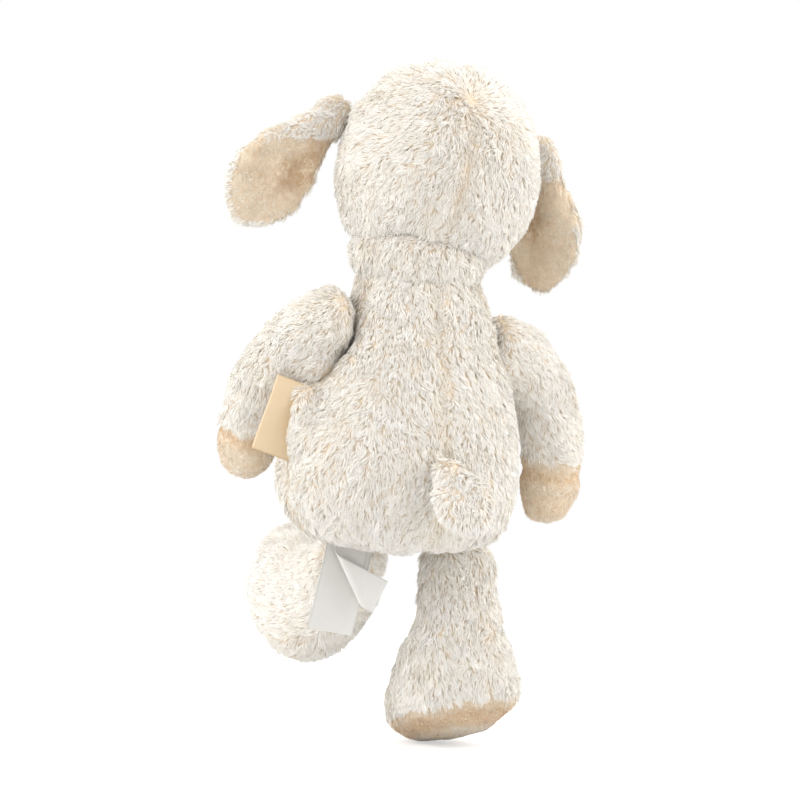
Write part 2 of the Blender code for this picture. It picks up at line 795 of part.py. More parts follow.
def make_nose(body, rings):
    """A stitched pad that follows the muzzle, proud of the cloth by the thickness of the thread."""
    proud = loft("nose", inset_rings(rings, 1, -(NOSE_THICKNESS + SEAM_GAP)), BODY_SEGMENTS)
    nose = new_object("nose", proud, body, "thread")
    under = loft("nose_under", inset_rings(rings, 1, -SEAM_GAP), BODY_SEGMENTS)
    muzzle = as_cutter(new_object("nose_muzzle", under, body, "fibre"))
    shape = bmesh.new()
    bmesh.ops.create_cone(
        shape, cap_ends=True, segments=LIMB_SEGMENTS, radius1=1, radius2=1, depth=1
    )
    sizes = (NOSE_WIDTH / 2, NOSE_HEIGHT / 2, HEAD_FRONT + HEAD_BACK, 1)
    forward = Matrix.Translation((0, -HEAD_FRONT, NOSE_LEVEL)) @ Matrix.Rotation(math.pi / 2, 4, "X")
    bmesh.ops.transform(shape, matrix=forward @ Matrix.Diagonal(sizes), verts=shape.verts)
    outline = as_cutter(new_object("nose_outline", finish_mesh("nose_outline", shape), body, "fibre"))
    keep(nose, outline)
    cut(nose, muzzle)


def make_ears(head_frame, head):
    frames = {}
    for name, side in SIDES.items():
        place = Vector((EAR_SPREAD * side, -EAR_FORWARD, HEAD_HEIGHT * EAR_HEIGHT_SHARES[name]))
        turn = (-EAR_TIP_FORWARD[name], -EAR_LIFT[name] * side, EAR_TURN[name] * side)
        pivot = frame(f"ear_{name}_joint", head_frame, place, turn)
        frames[name] = pivot
        ear_layer(f"ear_{name}_outer", pivot, side, False)
        ear_layer(f"ear_{name}_inner", pivot, side, True)
        half = EAR_THICKNESS / 2 * EAR_SHARES[0][2] + EAR_LEAF_GAP / 2 + SEAT_GAP
        profile = [(0, -half), (EAR_SEAT_RADIUS, -half), (EAR_SEAT_RADIUS, half), (0, half)]
        flat = Matrix.Rotation(math.pi / 2, 4, "X")
        seat = as_cutter(lathe(f"ear_seat_{name}", pivot, profile, flat, "fibre", SEAT_SEGMENTS))
        for key in ("left", "right", "face", "stuffing"):
            if key in (name, "stuffing"):
                cut(head[key], seat)
    return frames


def make_arm(torso_frame, torso, name, side):
    place = Vector((SHOULDER_SPREAD * side, -SHOULDER_FORWARD, SHOULDER_HEIGHT[name]))
    pivot = frame(f"arm_{name}_joint", torso_frame, place, (-ARM_SWING[name], 0, 0))
    rings = arm_rings(ARM_REACH[name])
    panel = shell(f"arm_{name}", pivot, rings, LIMB_SEGMENTS, SHORT_PILE_CLOTH, 1, side)
    half = SEAM_GAP / 2
    above = half_space(f"above_cuff_{name}", pivot, (0, 0, -CUFF_DROP + half), (0, 0, 1))
    below = half_space(f"below_cuff_{name}", pivot, (0, 0, -CUFF_DROP - half), (0, 0, -1))
    keep(panel(f"arm_{name}_sleeve", "cream"), above)
    keep(panel(f"arm_{name}_mitt", "tan"), below)
    stuffing(f"arm_{name}_stuffing", pivot, rings, LIMB_SEGMENTS, SHORT_PILE_CLOTH, 1, side)
    profile = [(0, -ARM_ROOT_DEPTH - SEAT_GAP)]
    for ring in rings[1:]:
        bend = ring[8] - math.pi / 2
        inner = ring[0] - ring[3] * math.sin(bend)
        if inner > ARM_SEAT_LENGTH:
            break
        reach = (abs(ring[2]) + ring[3] * math.cos(bend)) / math.cos(math.pi / SEAT_SEGMENTS)
        profile.append((reach + SEAT_GAP, inner - SEAT_GAP))
    profile.append((profile[-1][0], ARM_SEAT_LENGTH))
    profile.append((0, ARM_SEAT_LENGTH))
    sideways = Matrix.Translation(place) @ Matrix.Rotation(math.pi / 2 * side, 4, "Y")
    seat = lathe(f"arm_seat_{name}", torso_frame, profile, sideways, "fibre", SEAT_SEGMENTS)
    for item in torso.values():
        cut(item, as_cutter(seat))
    return pivot


def make_leg(torso_frame, torso, name, side):
    place = Vector((HIP_SPREAD * side, -HIP_FORWARD, -HIP_DROP))
    hip = frame(f"hip_{name}", torso_frame, place, (0, TORSO_LEAN, 0))
    pivot = frame(f"leg_{name}_joint", hip, (0, 0, 0), (-LEG_SWING[name], 0, 0))
    rings = leg_rings()
    panel = shell(f"leg_{name}", pivot, rings, LIMB_SEGMENTS, PILE_CLOTH, -1, side)
    half = SEAM_GAP / 2
    yaw = -TOE_IN * side
    across = Euler((SOLE_TILT, 0, yaw)).to_matrix().col[2]
    seam = Vector((0, 0, -LEG_LENGTH)) + Euler((0, 0, yaw)).to_matrix() @ Vector((0, -FOOT_FORWARD, 0))
    seam.x += FOOT_OUT * side
    above = half_space(f"above_sole_{name}", pivot, seam + across * half, across)
    below = half_space(f"below_sole_{name}", pivot, seam - across * half, -across)
    sleeve = keep(panel(f"leg_{name}_sleeve", "cream"), above)
    sole = keep(panel(f"leg_{name}_sole", "tan"), below)
    filling = stuffing(f"leg_{name}_stuffing", pivot, rings, LIMB_SEGMENTS, PILE_CLOTH, -1, side)
    wide = LEG_ROOT_WIDTH + SEAT_GAP
    round_size = LEG_ROOT_RADIUS + SEAT_GAP
    seat = ball(f"leg_seat_{name}", hip, (0, 0, 0), (wide, round_size, round_size))
    for item in torso.values():
        cut(item, seat)
    if name == "right":
        lowest = min((Vector(corner.co) for corner in sole.data.vertices), key=lambda spot: spot.z)
        flat = (lowest.x, lowest.y, lowest.z + FOOT_FLAT)
        cut(sole, half_space("floor", pivot, flat, (0, 0, -1)))
    return pivot


def make_tail(torso_frame, torso):
    outer = bpy.data.meshes["torso_outer"]
    spot, _ = surface_at(outer, (0, 0, TAIL_HEIGHT), (0, 1, 0))
    place = Vector((0, spot.y + TAIL_ROOT_OUT, TAIL_HEIGHT))
    pivot = frame("tail_joint", torso_frame, place, (TAIL_LIFT, TAIL_LEAN, 0))
    rings = tail_rings()
    panel = shell("tail", pivot, rings, LIMB_SEGMENTS, SHORT_PILE_CLOTH, -1)
    skin = panel("tail_skin", "cream")
    mouth_top = TAIL_ROOT_RADIUS + OVERRUN
    mouth = [
        (0, 0),
        (TAIL_MOUTH_RADIUS, 0),
        (TAIL_MOUTH_RADIUS, mouth_top),
        (0, mouth_top),
    ]
    cut(skin, as_cutter(lathe("tail_mouth", pivot, mouth, Matrix.Identity(4), "fibre")))
    stuffing("tail_stuffing", pivot, rings, LIMB_SEGMENTS, SHORT_PILE_CLOTH, -1)
    seat = ball("tail_seat", torso_frame, place, [TAIL_ROOT_RADIUS + SEAT_GAP] * 3)
    for item in torso.values():
        cut(item, seat)
    return pivot


def sheet(name, parent, grid, cloth, colour):
    """A thin closed sheet of cloth over a grid of points, which is its middle surface."""
    rows, columns = len(grid), len(grid[0])
    shape = bmesh.new()
    layers = []
    for face in (-1, 1):
        layer = []
        for row in range(rows):
            line = []
            for column in range(columns):
                down = grid[min(row + 1, rows - 1)][column] - grid[max(row - 1, 0)][column]
                over = grid[row][min(column + 1, columns - 1)] - grid[row][max(column - 1, 0)]
                normal = down.cross(over).normalized()
                line.append(shape.verts.new(grid[row][column] + normal * (face * cloth / 2)))
            layer.append(line)
        layers.append(layer)
    for layer in layers:
        for row in range(rows - 1):
            for column in range(columns - 1):
                shape.faces.new(
                    (
                        layer[row][column],
                        layer[row][column + 1],
                        layer[row + 1][column + 1],
                        layer[row + 1][column],
                    )
                )
    rim = [(0, column) for column in range(columns)]
    rim += [(row, columns - 1) for row in range(1, rows)]
    rim += [(rows - 1, column) for column in range(columns - 2, -1, -1)]
    rim += [(row, 0) for row in range(rows - 2, 0, -1)]
    back, front = layers
    for (row, column), (next_row, next_column) in zip(rim, rim[1:] + rim[:1]):
        shape.faces.new(
            (
                back[row][column],
                back[next_row][next_column],
                front[next_row][next_column],
                front[row][column],
            )
        )
    return new_object(name, finish_mesh(name, shape), parent, colour)


def slot(name, parent, place, turn, sizes):
    shape = bmesh.new()
    bmesh.ops.create_cube(shape, size=1)
    bmesh.ops.transform(
        shape, matrix=Matrix.Translation(place) @ turn @ Matrix.Diagonal((*sizes, 1)), verts=shape.verts
    )
    return as_cutter(new_object(name, finish_mesh(name, shape), parent, "fibre"))


def make_ribbon(torso_frame, torso):
    """A ribbon folded in half, its two ends tucked together into the left side seam."""
    outer = bpy.data.meshes["torso_outer"]
    spot, _ = surface_at(outer, (0, SIDE_SEAM_SHIFT, RIBBON_HEIGHT), (1, 0, 0))
    turn = Matrix.Rotation(RIBBON_SLOPE, 4, "Y")
    along = (turn @ Vector((0, 0, 1, 0))).to_3d()
    outward = (turn @ Vector((1, 0, 0, 0))).to_3d()
    apart = (RIBBON_FOLD_GAP + RIBBON_CLOTH) / 2
    bend = RIBBON_PROUD - apart
    path = []
    for face in (-1, 1):
        ends = [(-RIBBON_TUCK, face * apart), (0, face * apart), (bend, face * apart)]
        path.extend(ends if face < 0 else reversed(ends))
        if face < 0:
            for step in range(1, RIBBON_STEPS):
                angle = math.pi * step / RIBBON_STEPS - math.pi / 2
                path.append((bend + apart * math.cos(angle), apart * math.sin(angle)))
    grid = []
    for out, deep in path:
        middle = spot + outward * out + Vector((0, deep, 0))
        grid.append([middle - along * RIBBON_WIDTH / 2, middle + along * RIBBON_WIDTH / 2])
    sheet("ribbon_label", torso_frame, grid, RIBBON_CLOTH, "satin")
    sizes = (
        2 * (RIBBON_TUCK + LABEL_SLOT_GAP),
        2 * apart + RIBBON_CLOTH + 2 * LABEL_SLOT_GAP,
        RIBBON_WIDTH + 2 * LABEL_SLOT_GAP,
    )
    cutter = slot("ribbon_slot", torso_frame, spot, turn, sizes)
    for key in ("back_left", "belly", "stuffing"):
        cut(torso[key], cutter)


def make_care_labels(torso_frame, torso):
    """Two bands sewn into the seam under the bottom, one hanging flat and one curling back."""
    outer = bpy.data.meshes["torso_outer"]
    inside = Vector((LABEL_SPREAD, SIDE_SEAM_SHIFT, RIBBON_HEIGHT))
    spot, _ = surface_at(outer, inside, (0, 0, -1))
    lean = Matrix.Rotation(LABEL_SLOPE, 3, "Y")
    across = lean @ Vector((1, 0, 0))
    down = lean @ Vector((0, 0, -1))
    columns = [column / LABEL_COLUMNS - 0.5 for column in range(LABEL_COLUMNS + 1)]
    grid = []
    for step in range(LABEL_ROWS // 2 + 1):
        share = step / (LABEL_ROWS // 2)
        drop = share * (LABEL_LENGTH + LABEL_TUCK) - LABEL_TUCK
        middle = spot + down * drop + Vector((0, -LABEL_SWAY * share**2, 0))
        grid.append([middle + across * LABEL_WIDTH * column for column in columns])
    sheet("care_label_long", torso_frame, grid, LABEL_CLOTH, "white_satin")

    start = spot + Vector((0, CURL_BACK, 0))
    fold = across * math.sin(CURL_FOLD) + down * math.cos(CURL_FOLD)
    half_turn = math.pi * CURL_RADIUS
    grid = []
    for step in range(LABEL_ROWS + 1):
        run = step / LABEL_ROWS * (CURL_LENGTH + LABEL_TUCK) - LABEL_TUCK
        line = []
        for column in columns:
            flat = across * CURL_WIDTH * column + down * run
            past = (flat - down * CURL_STRAIGHT).dot(fold)
            turned = min(max(past, 0), half_turn) / CURL_RADIUS
            back = max(past - half_turn, 0)
            lift = CURL_RADIUS * (1 - math.cos(turned))
            kept = flat - fold * max(past, 0)
            kept += fold * (CURL_RADIUS * math.sin(turned) - back)
            line.append(start + kept + Vector((0, lift, 0)))
        grid.append(line)
    sheet("care_label_short", torso_frame, grid, LABEL_CLOTH, "white_satin")
    deep = CURL_BACK + LABEL_CLOTH + 2 * LABEL_SLOT_GAP
    sizes = (LABEL_WIDTH + 2 * LABEL_SLOT_GAP, deep, 2 * (LABEL_TUCK + LABEL_SLOT_GAP))
    middle = spot + Vector((0, CURL_BACK / 2, 0))
    cutter = slot("care_label_slot", torso_frame, middle, lean.to_4x4(), sizes)
    for key in ("back_left", "belly", "stuffing"):
        cut(torso[key], cutter)


def settle_on_origin(toy):
    """Moves the toy so that its box stands centred on the origin with its foot on the ground."""
    depsgraph = bpy.context.evaluated_depsgraph_get()
    corners = []
    for item in bpy.context.scene.objects:
        if item.type != "MESH" or item.hide_render:
            continue
        solid = item.evaluated_get(depsgraph)
        mesh = solid.to_mesh()
        corners.extend(solid.matrix_world @ corner.co for corner in mesh.vertices)
        solid.to_mesh_clear()
    points = np.array(corners)
    low, high = points.min(axis=0), points.max(axis=0)
    toy.location = (-(low[0] + high[0]) / 2, -(low[1] + high[1]) / 2, -low[2])
    bpy.context.view_layer.update()


def main():
    clear_scene()
    toy = frame("toy", None)
    torso_frame = frame("torso_frame", toy, (0, 0, 0), (0, -TORSO_LEAN, 0))
    torso = make_torso(torso_frame)
    neck = Vector((0, -NECK_SHIFT, TORSO_HEIGHT))
    neck_frame = frame("neck_joint", torso_frame, neck)
    make_neck(neck_frame, torso)
    head_frame = frame("head_joint", torso_frame, neck, (0, -HEAD_TILT, 0))
    rings, head = make_head(head_frame)
    make_eyes(head_frame, rings, head)
    make_nose(head_frame, rings)
    make_ears(head_frame, head)
    for name, side in SIDES.items():
        make_arm(torso_frame, torso, name, side)
        make_leg(torso_frame, torso, name, side)
    make_tail(torso_frame, torso)
    make_ribbon(torso_frame, torso)
    make_care_labels(torso_frame, torso)
    bpy.context.view_layer.update()
    settle_on_origin(toy)


main()
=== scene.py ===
import json
import math

import bmesh
import bpy
import numpy as np
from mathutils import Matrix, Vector
from mathutils.bvhtree import BVHTree
from mathutils.kdtree import KDTree


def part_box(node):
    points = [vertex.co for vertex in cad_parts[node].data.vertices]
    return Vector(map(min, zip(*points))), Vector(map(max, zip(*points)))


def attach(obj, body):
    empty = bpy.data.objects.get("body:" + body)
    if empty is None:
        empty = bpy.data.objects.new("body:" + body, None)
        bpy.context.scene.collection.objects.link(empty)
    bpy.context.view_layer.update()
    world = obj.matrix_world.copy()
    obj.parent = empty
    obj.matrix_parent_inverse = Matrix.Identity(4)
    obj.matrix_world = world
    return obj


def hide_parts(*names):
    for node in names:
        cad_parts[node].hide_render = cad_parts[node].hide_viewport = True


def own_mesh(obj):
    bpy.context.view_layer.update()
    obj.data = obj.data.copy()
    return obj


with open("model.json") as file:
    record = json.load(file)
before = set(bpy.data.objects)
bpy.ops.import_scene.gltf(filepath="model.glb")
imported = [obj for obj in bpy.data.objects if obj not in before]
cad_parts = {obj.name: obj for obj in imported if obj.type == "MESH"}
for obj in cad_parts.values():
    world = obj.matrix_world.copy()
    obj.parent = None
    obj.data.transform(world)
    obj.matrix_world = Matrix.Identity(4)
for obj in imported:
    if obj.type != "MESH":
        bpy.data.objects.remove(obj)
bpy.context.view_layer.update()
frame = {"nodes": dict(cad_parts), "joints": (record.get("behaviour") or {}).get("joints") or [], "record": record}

nodes = frame["nodes"]
scene = bpy.context.scene
MM = 0.001


# The torso is a bag of three sewn panels, two at the back and a belly, stuffed with loose fibre.
# What is made here is its knitted backing, swollen and lumpy, and drawn in along the seams. It
# lies a pile's depth inside the sewn skins, so that the pile reaches the toy's outline.
WELD = 0.01 * MM
VOXEL = 4 * MM
SMOOTHING = 5
SMOOTHING_FACTOR = 0.5
PILE_DEPTH = 0.9 * MM
PUFF_PRESSURE = 4.0
PUFF_CAP = 1.2 * MM
PUFF_FRAMES = 20
PUFF_QUALITY = 4
LUMP_WAVE = 19 * MM
LUMP_HEIGHT = 0.6 * MM
WAVE_COUNT = 7
WAVE_LENGTH_SHARES = (0.7, 1.5)
SEAM_PULL = 1.0 * MM
SEAM_WIDTH = 3.4 * MM
MOTTLE_STRENGTH = 0.6
KNIT_SCALE = 900
KNIT_BUMP = 0.4 * MM
SKINS = {
    "torso": ["torso_back_left", "torso_back_right", "torso_belly"],
    "head": ["head_back_left", "head_back_right", "face_panel"],
    "ear_left": ["ear_left_outer", "ear_left_inner"],
    "ear_right": ["ear_right_outer", "ear_right_inner"],
    "arm_left": ["arm_left_sleeve", "arm_left_mitt"],
    "arm_right": ["arm_right_sleeve", "arm_right_mitt"],
    "leg_left": ["leg_left_sleeve", "leg_left_sole"],
    "leg_right": ["leg_right_sleeve", "leg_right_sole"],
    "tail": ["tail_skin"],
    "neck": ["neck_stuffing"],
}


def tint(red, green, blue):
    """A colour given as it shows on a screen, turned into the linear values of a shader."""
    shares = [level / 255 for level in (red, green, blue)]
    return tuple(((s + 0.055) / 1.055) ** 2.4 if s > 0.04045 else s / 12.92 for s in shares) + (1.0,)


def only(piece):
    """Makes this piece the only one selected, and the active one."""
    bpy.ops.object.select_all(action="DESELECT")
    piece.select_set(True)
    bpy.context.view_layer.objects.active = piece


def apply_modifier(piece, kind, **settings):
    """Adds one modifier to a piece with these settings and applies it."""
    modifier = piece.modifiers.new(kind.title(), kind)
    for setting, value in settings.items():
        setattr(modifier, setting, value)
    only(piece)
    bpy.ops.object.modifier_apply(modifier=modifier.name)


def link_mesh(mesh):
    """A new piece of the scene with this mesh and its name."""
    piece = bpy.data.objects.new(mesh.name, mesh)
    scene.collection.objects.link(piece)
    return piece


def copy_nodes(label, names):
    """One new piece with merged copies of these CAD nodes' meshes."""
    work = bmesh.new()
    for name in names:
        work.from_mesh(nodes[name].data)
    bmesh.ops.remove_doubles(work, verts=work.verts, dist=WELD)
    mesh = bpy.data.meshes.new(label)
    work.to_mesh(mesh)
    work.free()
    mesh.materials.clear()
    return link_mesh(mesh)


def vertex_rows(piece, field):
    """One row of three numbers for each vertex of a piece."""
    rows = np.empty(len(piece.data.vertices) * 3)
    piece.data.vertices.foreach_get(field, rows)
    return rows.reshape(-1, 3)


def points_of(piece):
    return vertex_rows(piece, "co")


def normals_of(piece):
    return vertex_rows(piece, "normal")


def place_points(piece, points):
    piece.data.vertices.foreach_set("co", np.asarray(points, float).ravel())
    piece.data.update()


def waves(points, length, seed):
    """A smooth number between about -1 and 1 at each point, with waves of about this length."""
    dice = np.random.default_rng(seed)
    total = np.zeros(len(points))
    for _ in range(WAVE_COUNT):
        direction = dice.normal(size=3)
        direction *= math.tau / (np.linalg.norm(direction) * length * dice.uniform(*WAVE_LENGTH_SHARES))
        total += np.sin(points @ direction + dice.uniform(0, math.tau))
    return total / math.sqrt(WAVE_COUNT)


def keep_outermost(piece):
    """Deletes every closed skin of the mesh but the largest one."""
    work = bmesh.new()
    work.from_mesh(piece.data)
    left = set(work.verts)
    largest = set()
    while left:
        found = set()
        front = [left.pop()]
        while front:
            corner = front.pop()
            found.add(corner)
            for edge in corner.link_edges:
                other = edge.other_vert(corner)
                if other in left:
                    left.remove(other)
                    front.append(other)
        if len(found) > len(largest):
            largest = found
    bmesh.ops.delete(work, geom=[v for v in work.verts if v not in largest], context="VERTS")
    work.to_mesh(piece.data)
    work.free()


def puff(piece):
    """Fills a closed form with a breath of air as cloth, and caps how far a point may move."""
    before = points_of(piece)
    cloth = piece.modifiers.new("Cloth", "CLOTH")
    cloth.settings.use_pressure = True
    cloth.settings.uniform_pressure_force = PUFF_PRESSURE
    cloth.settings.effector_weights.gravity = 0
    cloth.settings.quality = PUFF_QUALITY
    for step in range(1, PUFF_FRAMES + 1):
        scene.frame_set(step)
    only(piece)
    bpy.ops.object.modifier_apply(modifier=cloth.name)
    scene.frame_set(1)
    moved = points_of(piece) - before
    reach = np.linalg.norm(moved, axis=1)
    scale = np.minimum(1, PUFF_CAP / np.maximum(reach, WELD))
    place_points(piece, before + moved * scale[:, None])


def tree_of(names):
    """A search tree over the surfaces of these CAD nodes, and which node each face belongs to."""
    points, faces, owner = [], [], []
    for index, name in enumerate(names):
        mesh = nodes[name].data
        first = len(points)
        points.extend(v.co.copy() for v in mesh.vertices)
        faces.extend([first + i for i in polygon.vertices] for polygon in mesh.polygons)
        owner.extend([index] * len(mesh.polygons))
    return BVHTree.FromPolygons(points, faces), owner


def near_seam(points, skins):
    """A share from 0 to 1 for each point, that is 1 on a seam between two of these skins."""
    if len(skins) < 2:
        return np.zeros(len(points))
    trees = [tree_of([skin])[0] for skin in skins]
    distances = np.sort([[tree.find_nearest(Vector(p))[3] for p in points] for tree in trees], axis=0)
    sideways = np.sqrt(np.maximum(distances[1] ** 2 - distances[0] ** 2, 0))
    return np.exp(-((sideways / SEAM_WIDTH) ** 2))


def shade_smooth(piece):
    for polygon in piece.data.polygons:
        polygon.use_smooth = True


def add_bulge(form, middle, size, tilt=0):
    """Joins a rounded lump, given by its middle and half sizes, to a form that isn't remeshed yet."""
    bpy.ops.object.select_all(action="DESELECT")
    bpy.ops.mesh.primitive_uv_sphere_add(
        segments=48, ring_count=24, radius=1, scale=size, location=middle, rotation=(0, -tilt, 0)
    )
    bpy.ops.object.transform_apply(location=True, rotation=True, scale=True)
    form.select_set(True)
    bpy.context.view_layer.objects.active = form
    bpy.ops.object.join()


def stuffed_form(
    body,
    stuffing,
    seed,
    voxel=VOXEL,
    smoothing=SMOOTHING,
    depth=PILE_DEPTH,
    seam_pull=SEAM_PULL,
    bulges=(),
):
    """The backing of a stuffed part, swollen, lumpy and drawn in at its seams."""
    form = copy_nodes(body + "_form", SKINS[body] + stuffing)
    for bulge in bulges:
        add_bulge(form, *bulge)
    apply_modifier(form, "REMESH", mode="VOXEL", voxel_size=voxel, use_smooth_shade=True)
    keep_outermost(form)
    apply_modifier(form, "SMOOTH", factor=SMOOTHING_FACTOR, iterations=smoothing)
    points = points_of(form)
    rise = LUMP_HEIGHT * waves(points, LUMP_WAVE, seed) - depth
    place_points(form, points + normals_of(form) * rise[:, None])
    puff(form)
    apply_modifier(form, "SUBSURF", levels=1, render_levels=1)
    points = points_of(form)
    pull = seam_pull * near_seam(points, SKINS[body])
    place_points(form, points - normals_of(form) * pull[:, None])
    shade_smooth(form)
    return form


def new_material(name, metallic=0.0, specular=0.2, sheen=0.0, sheen_roughness=0.5):
    """An empty shader with the values that are the same all over the piece."""
    material = bpy.data.materials.new(name)
    material.use_nodes = True
    shader = material.node_tree.nodes["Principled BSDF"]
    shader.inputs["Metallic"].default_value = metallic
    shader.inputs["Specular IOR Level"].default_value = specular
    shader.inputs["Sheen Weight"].default_value = sheen
    shader.inputs["Sheen Roughness"].default_value = sheen_roughness
    return material, material.node_tree, shader


def new_group(name, taken, given):
    """An empty node group with these inputs and outputs, its two ends already in it."""
    group = bpy.data.node_groups.new(name, "ShaderNodeTree")
    for label, kind in taken.items():
        group.interface.new_socket(label, in_out="INPUT", socket_type="NodeSocket" + kind)
    for label, kind in given.items():
        group.interface.new_socket(label, in_out="OUTPUT", socket_type="NodeSocket" + kind)
    return group, group.nodes.new("NodeGroupInput"), group.nodes.new("NodeGroupOutput")


def use_group(tree, group, values, links):
    """Places a node group in a material, with its own values and its linked inputs."""
    node = tree.nodes.new("ShaderNodeGroup")
    node.node_tree = group
    for label, value in values.items():
        node.inputs[label].default_value = value
    for label, source in links.items():
        tree.links.new(source, node.inputs[label])
    return node


def mixed(tree, factor, first, second, blend="MIX"):
    """A colour mix of two sockets; the factor is a socket or a plain number."""
    node = tree.nodes.new("ShaderNodeMix")
    node.data_type = "RGBA"
    node.blend_type = blend
    if isinstance(factor, (int, float)):
        node.inputs["Factor"].default_value = factor
    else:
        tree.links.new(factor, node.inputs["Factor"])
    tree.links.new(first, node.inputs["A"])
    tree.links.new(second, node.inputs["B"])
    return node.outputs["Result"]


def mapped(tree, value, from_low, from_high, low, high, smooth=False):
    """A value taken from one range to another; either end of the new range may be a socket."""
    node = tree.nodes.new("ShaderNodeMapRange")
    node.interpolation_type = "SMOOTHSTEP" if smooth else "LINEAR"
    tree.links.new(value, node.inputs["Value"])
    amounts = {"From Min": from_low, "From Max": from_high, "To Min": low, "To Max": high}
    for label, amount in amounts.items():
        if isinstance(amount, (int, float)):
            node.inputs[label].default_value = amount
        else:
            tree.links.new(amount, node.inputs[label])
    return node.outputs["Result"]


def mottle_group():
    """Fine cloudy variation of a cloth or a moulded face: colour, roughness and height."""
    taken = {"Vector": "Vector", "Scale": "Float", "Dark": "Color", "Light": "Color"}
    taken |= {"Smooth": "Float", "Rough": "Float"}
    given = {"Color": "Color", "Roughness": "Float", "Height": "Float"}
    group, start, end = new_group("mottle", taken, given)
    cloud = group.nodes.new("ShaderNodeTexNoise")
    cloud.inputs["Detail"].default_value = 4
    group.links.new(start.outputs["Vector"], cloud.inputs["Vector"])
    group.links.new(start.outputs["Scale"], cloud.inputs["Scale"])
    share = mapped(group, cloud.outputs["Fac"], 0.3, 0.7, 0.0, 1.0)
    colour = mixed(group, share, start.outputs["Dark"], start.outputs["Light"])
    group.links.new(colour, end.inputs["Color"])
    rough = mapped(group, share, 0.0, 1.0, start.outputs["Smooth"], start.outputs["Rough"])
    group.links.new(rough, end.inputs["Roughness"])
    group.links.new(cloud.outputs["Fac"], end.inputs["Height"])
    return group


mottle = mottle_group()


def mottled(name, dark, light, scale, smooth, rough, bump_depth, **finish):
    """A material with the mottle group: two colours, the clouds' scale, two roughnesses and a depth."""
    material, tree, shader = new_material(name, **finish)
    place = tree.nodes.new("ShaderNodeTexCoord")
    values = {"Scale": scale, "Dark": dark, "Light": light, "Smooth": smooth, "Rough": rough}
    cloud = use_group(tree, mottle, values, {"Vector": place.outputs["Object"]})
    tree.links.new(cloud.outputs["Color"], shader.inputs["Base Color"])
    tree.links.new(cloud.outputs["Roughness"], shader.inputs["Roughness"])
    bump = tree.nodes.new("ShaderNodeBump")
    bump.inputs["Strength"].default_value = MOTTLE_STRENGTH
    bump.inputs["Distance"].default_value = bump_depth
    tree.links.new(cloud.outputs["Height"], bump.inputs["Height"])
    tree.links.new(bump.outputs["Normal"], shader.inputs["Normal"])
    return material


def knitted_backing(name, dark, light):
    """The knitted cloth that a pile stands on, in two close shades."""
    return mottled(name, dark, light, KNIT_SCALE, 0.8, 0.95, KNIT_BUMP, specular=0.1, sheen=0.2)


cream_backing = knitted_backing("cream_backing", tint(243, 225, 198), tint(250, 238, 218))
# The stuffing bears against the left side seam and rounds it over the ribbon's root
SIDE_SWELL = ((59 * MM, 31 * MM, 161 * MM), (12 * MM, 14 * MM, 27 * MM))
torso_form = stuffed_form("torso", ["torso_stuffing", "neck_stuffing"], 1, bulges=[SIDE_SWELL])
torso_form.data.materials.append(cream_backing)
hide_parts("torso_stuffing")
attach(torso_form, "torso")


# Cream pile is a long soft polyester pile knitted into the backing, lying loosely in small curled
# tufts, and tan pile a short velvety one. Each hair here is a slender closed leaf of four faces,
# bent at its waist. Its own map runs from root to tip, and across it by the shade of its tuft.
HAIR_WAIST = 0.42
WAIST_LIFT = 0.12 * MM
MAP_WIDTH = 0.012
MAP_MARGIN = 0.02
MAP_MIDDLE = 0.45
PILE_SHEEN = 0.5
MOST_HAIRS = 49000
NEIGHBOUR_GAP = 0.3 * MM
LEAF = np.array([[0, 1, 2], [3, 2, 1], [0, 3, 1], [0, 2, 3]])


def pile_group():
    """Pile fibre: darker and warmer at the root as painted shade deep in the pile, paler at the tip, and each tuft
    a little warmer or paler.
    """
    colours = ("Root", "Middle", "Tip", "Warm", "Pale")
    taken = {"Along": "Float", "Shade": "Float", **{label: "Color" for label in colours}}
    group, start, end = new_group("pile", taken, {"Color": "Color", "Roughness": "Float"})
    given = start.outputs
    lower = mapped(group, given["Along"], 0.0, MAP_MIDDLE, 0.0, 1.0)
    upper = mapped(group, given["Along"], MAP_MIDDLE, 1.0, 0.0, 1.0)
    along = mixed(group, upper, mixed(group, lower, given["Root"], given["Middle"]), given["Tip"])
    paler = mapped(group, given["Shade"], 0.1, 0.75, 0.0, 1.0)
    tone = mixed(group, paler, given["Warm"], given["Pale"])
    group.links.new(mixed(group, 1, along, tone, "MULTIPLY"), end.inputs["Color"])
    group.links.new(mapped(group, given["Along"], 0.0, 1.0, 0.95, 0.75), end.inputs["Roughness"])
    return group


pile_shades = pile_group()


def pile_yarn(name, root, middle, tip, warm):
    """The fibre of a pile, with its colours from root to tip, the root's painted shade, and the warm tint of its
    warmer tufts and of painted shade.
    """
    material, tree, shader = new_material(name, specular=0.1, sheen=PILE_SHEEN)
    place = tree.nodes.new("ShaderNodeUVMap")
    place.uv_map = "OFBake"
    split = tree.nodes.new("ShaderNodeSeparateXYZ")
    tree.links.new(place.outputs["UV"], split.inputs["Vector"])
    values = {"Root": root, "Middle": middle, "Tip": tip, "Warm": warm, "Pale": (1, 1, 1, 1)}
    places = {"Along": split.outputs["X"], "Shade": split.outputs["Y"]}
    fibre = use_group(tree, pile_shades, values, places)
    tree.links.new(fibre.outputs["Color"], shader.inputs["Base Color"])
    tree.links.new(fibre.outputs["Roughness"], shader.inputs["Roughness"])
    return material


# In both yarns the darker, warmer root colour is painted shade deep in the pile between the tufts, and the warm
# tint also carries the painted shade at seams and in the ears' dishes.
cream_yarn = pile_yarn(
    "cream_yarn", tint(246, 231, 209), tint(254, 250, 243), tint(255, 255, 253), tint(252, 247, 239)
)
tan_yarn = pile_yarn(
    "tan_yarn", tint(243, 220, 189), tint(254, 245, 227), tint(255, 250, 239), tint(229, 203, 171)
)
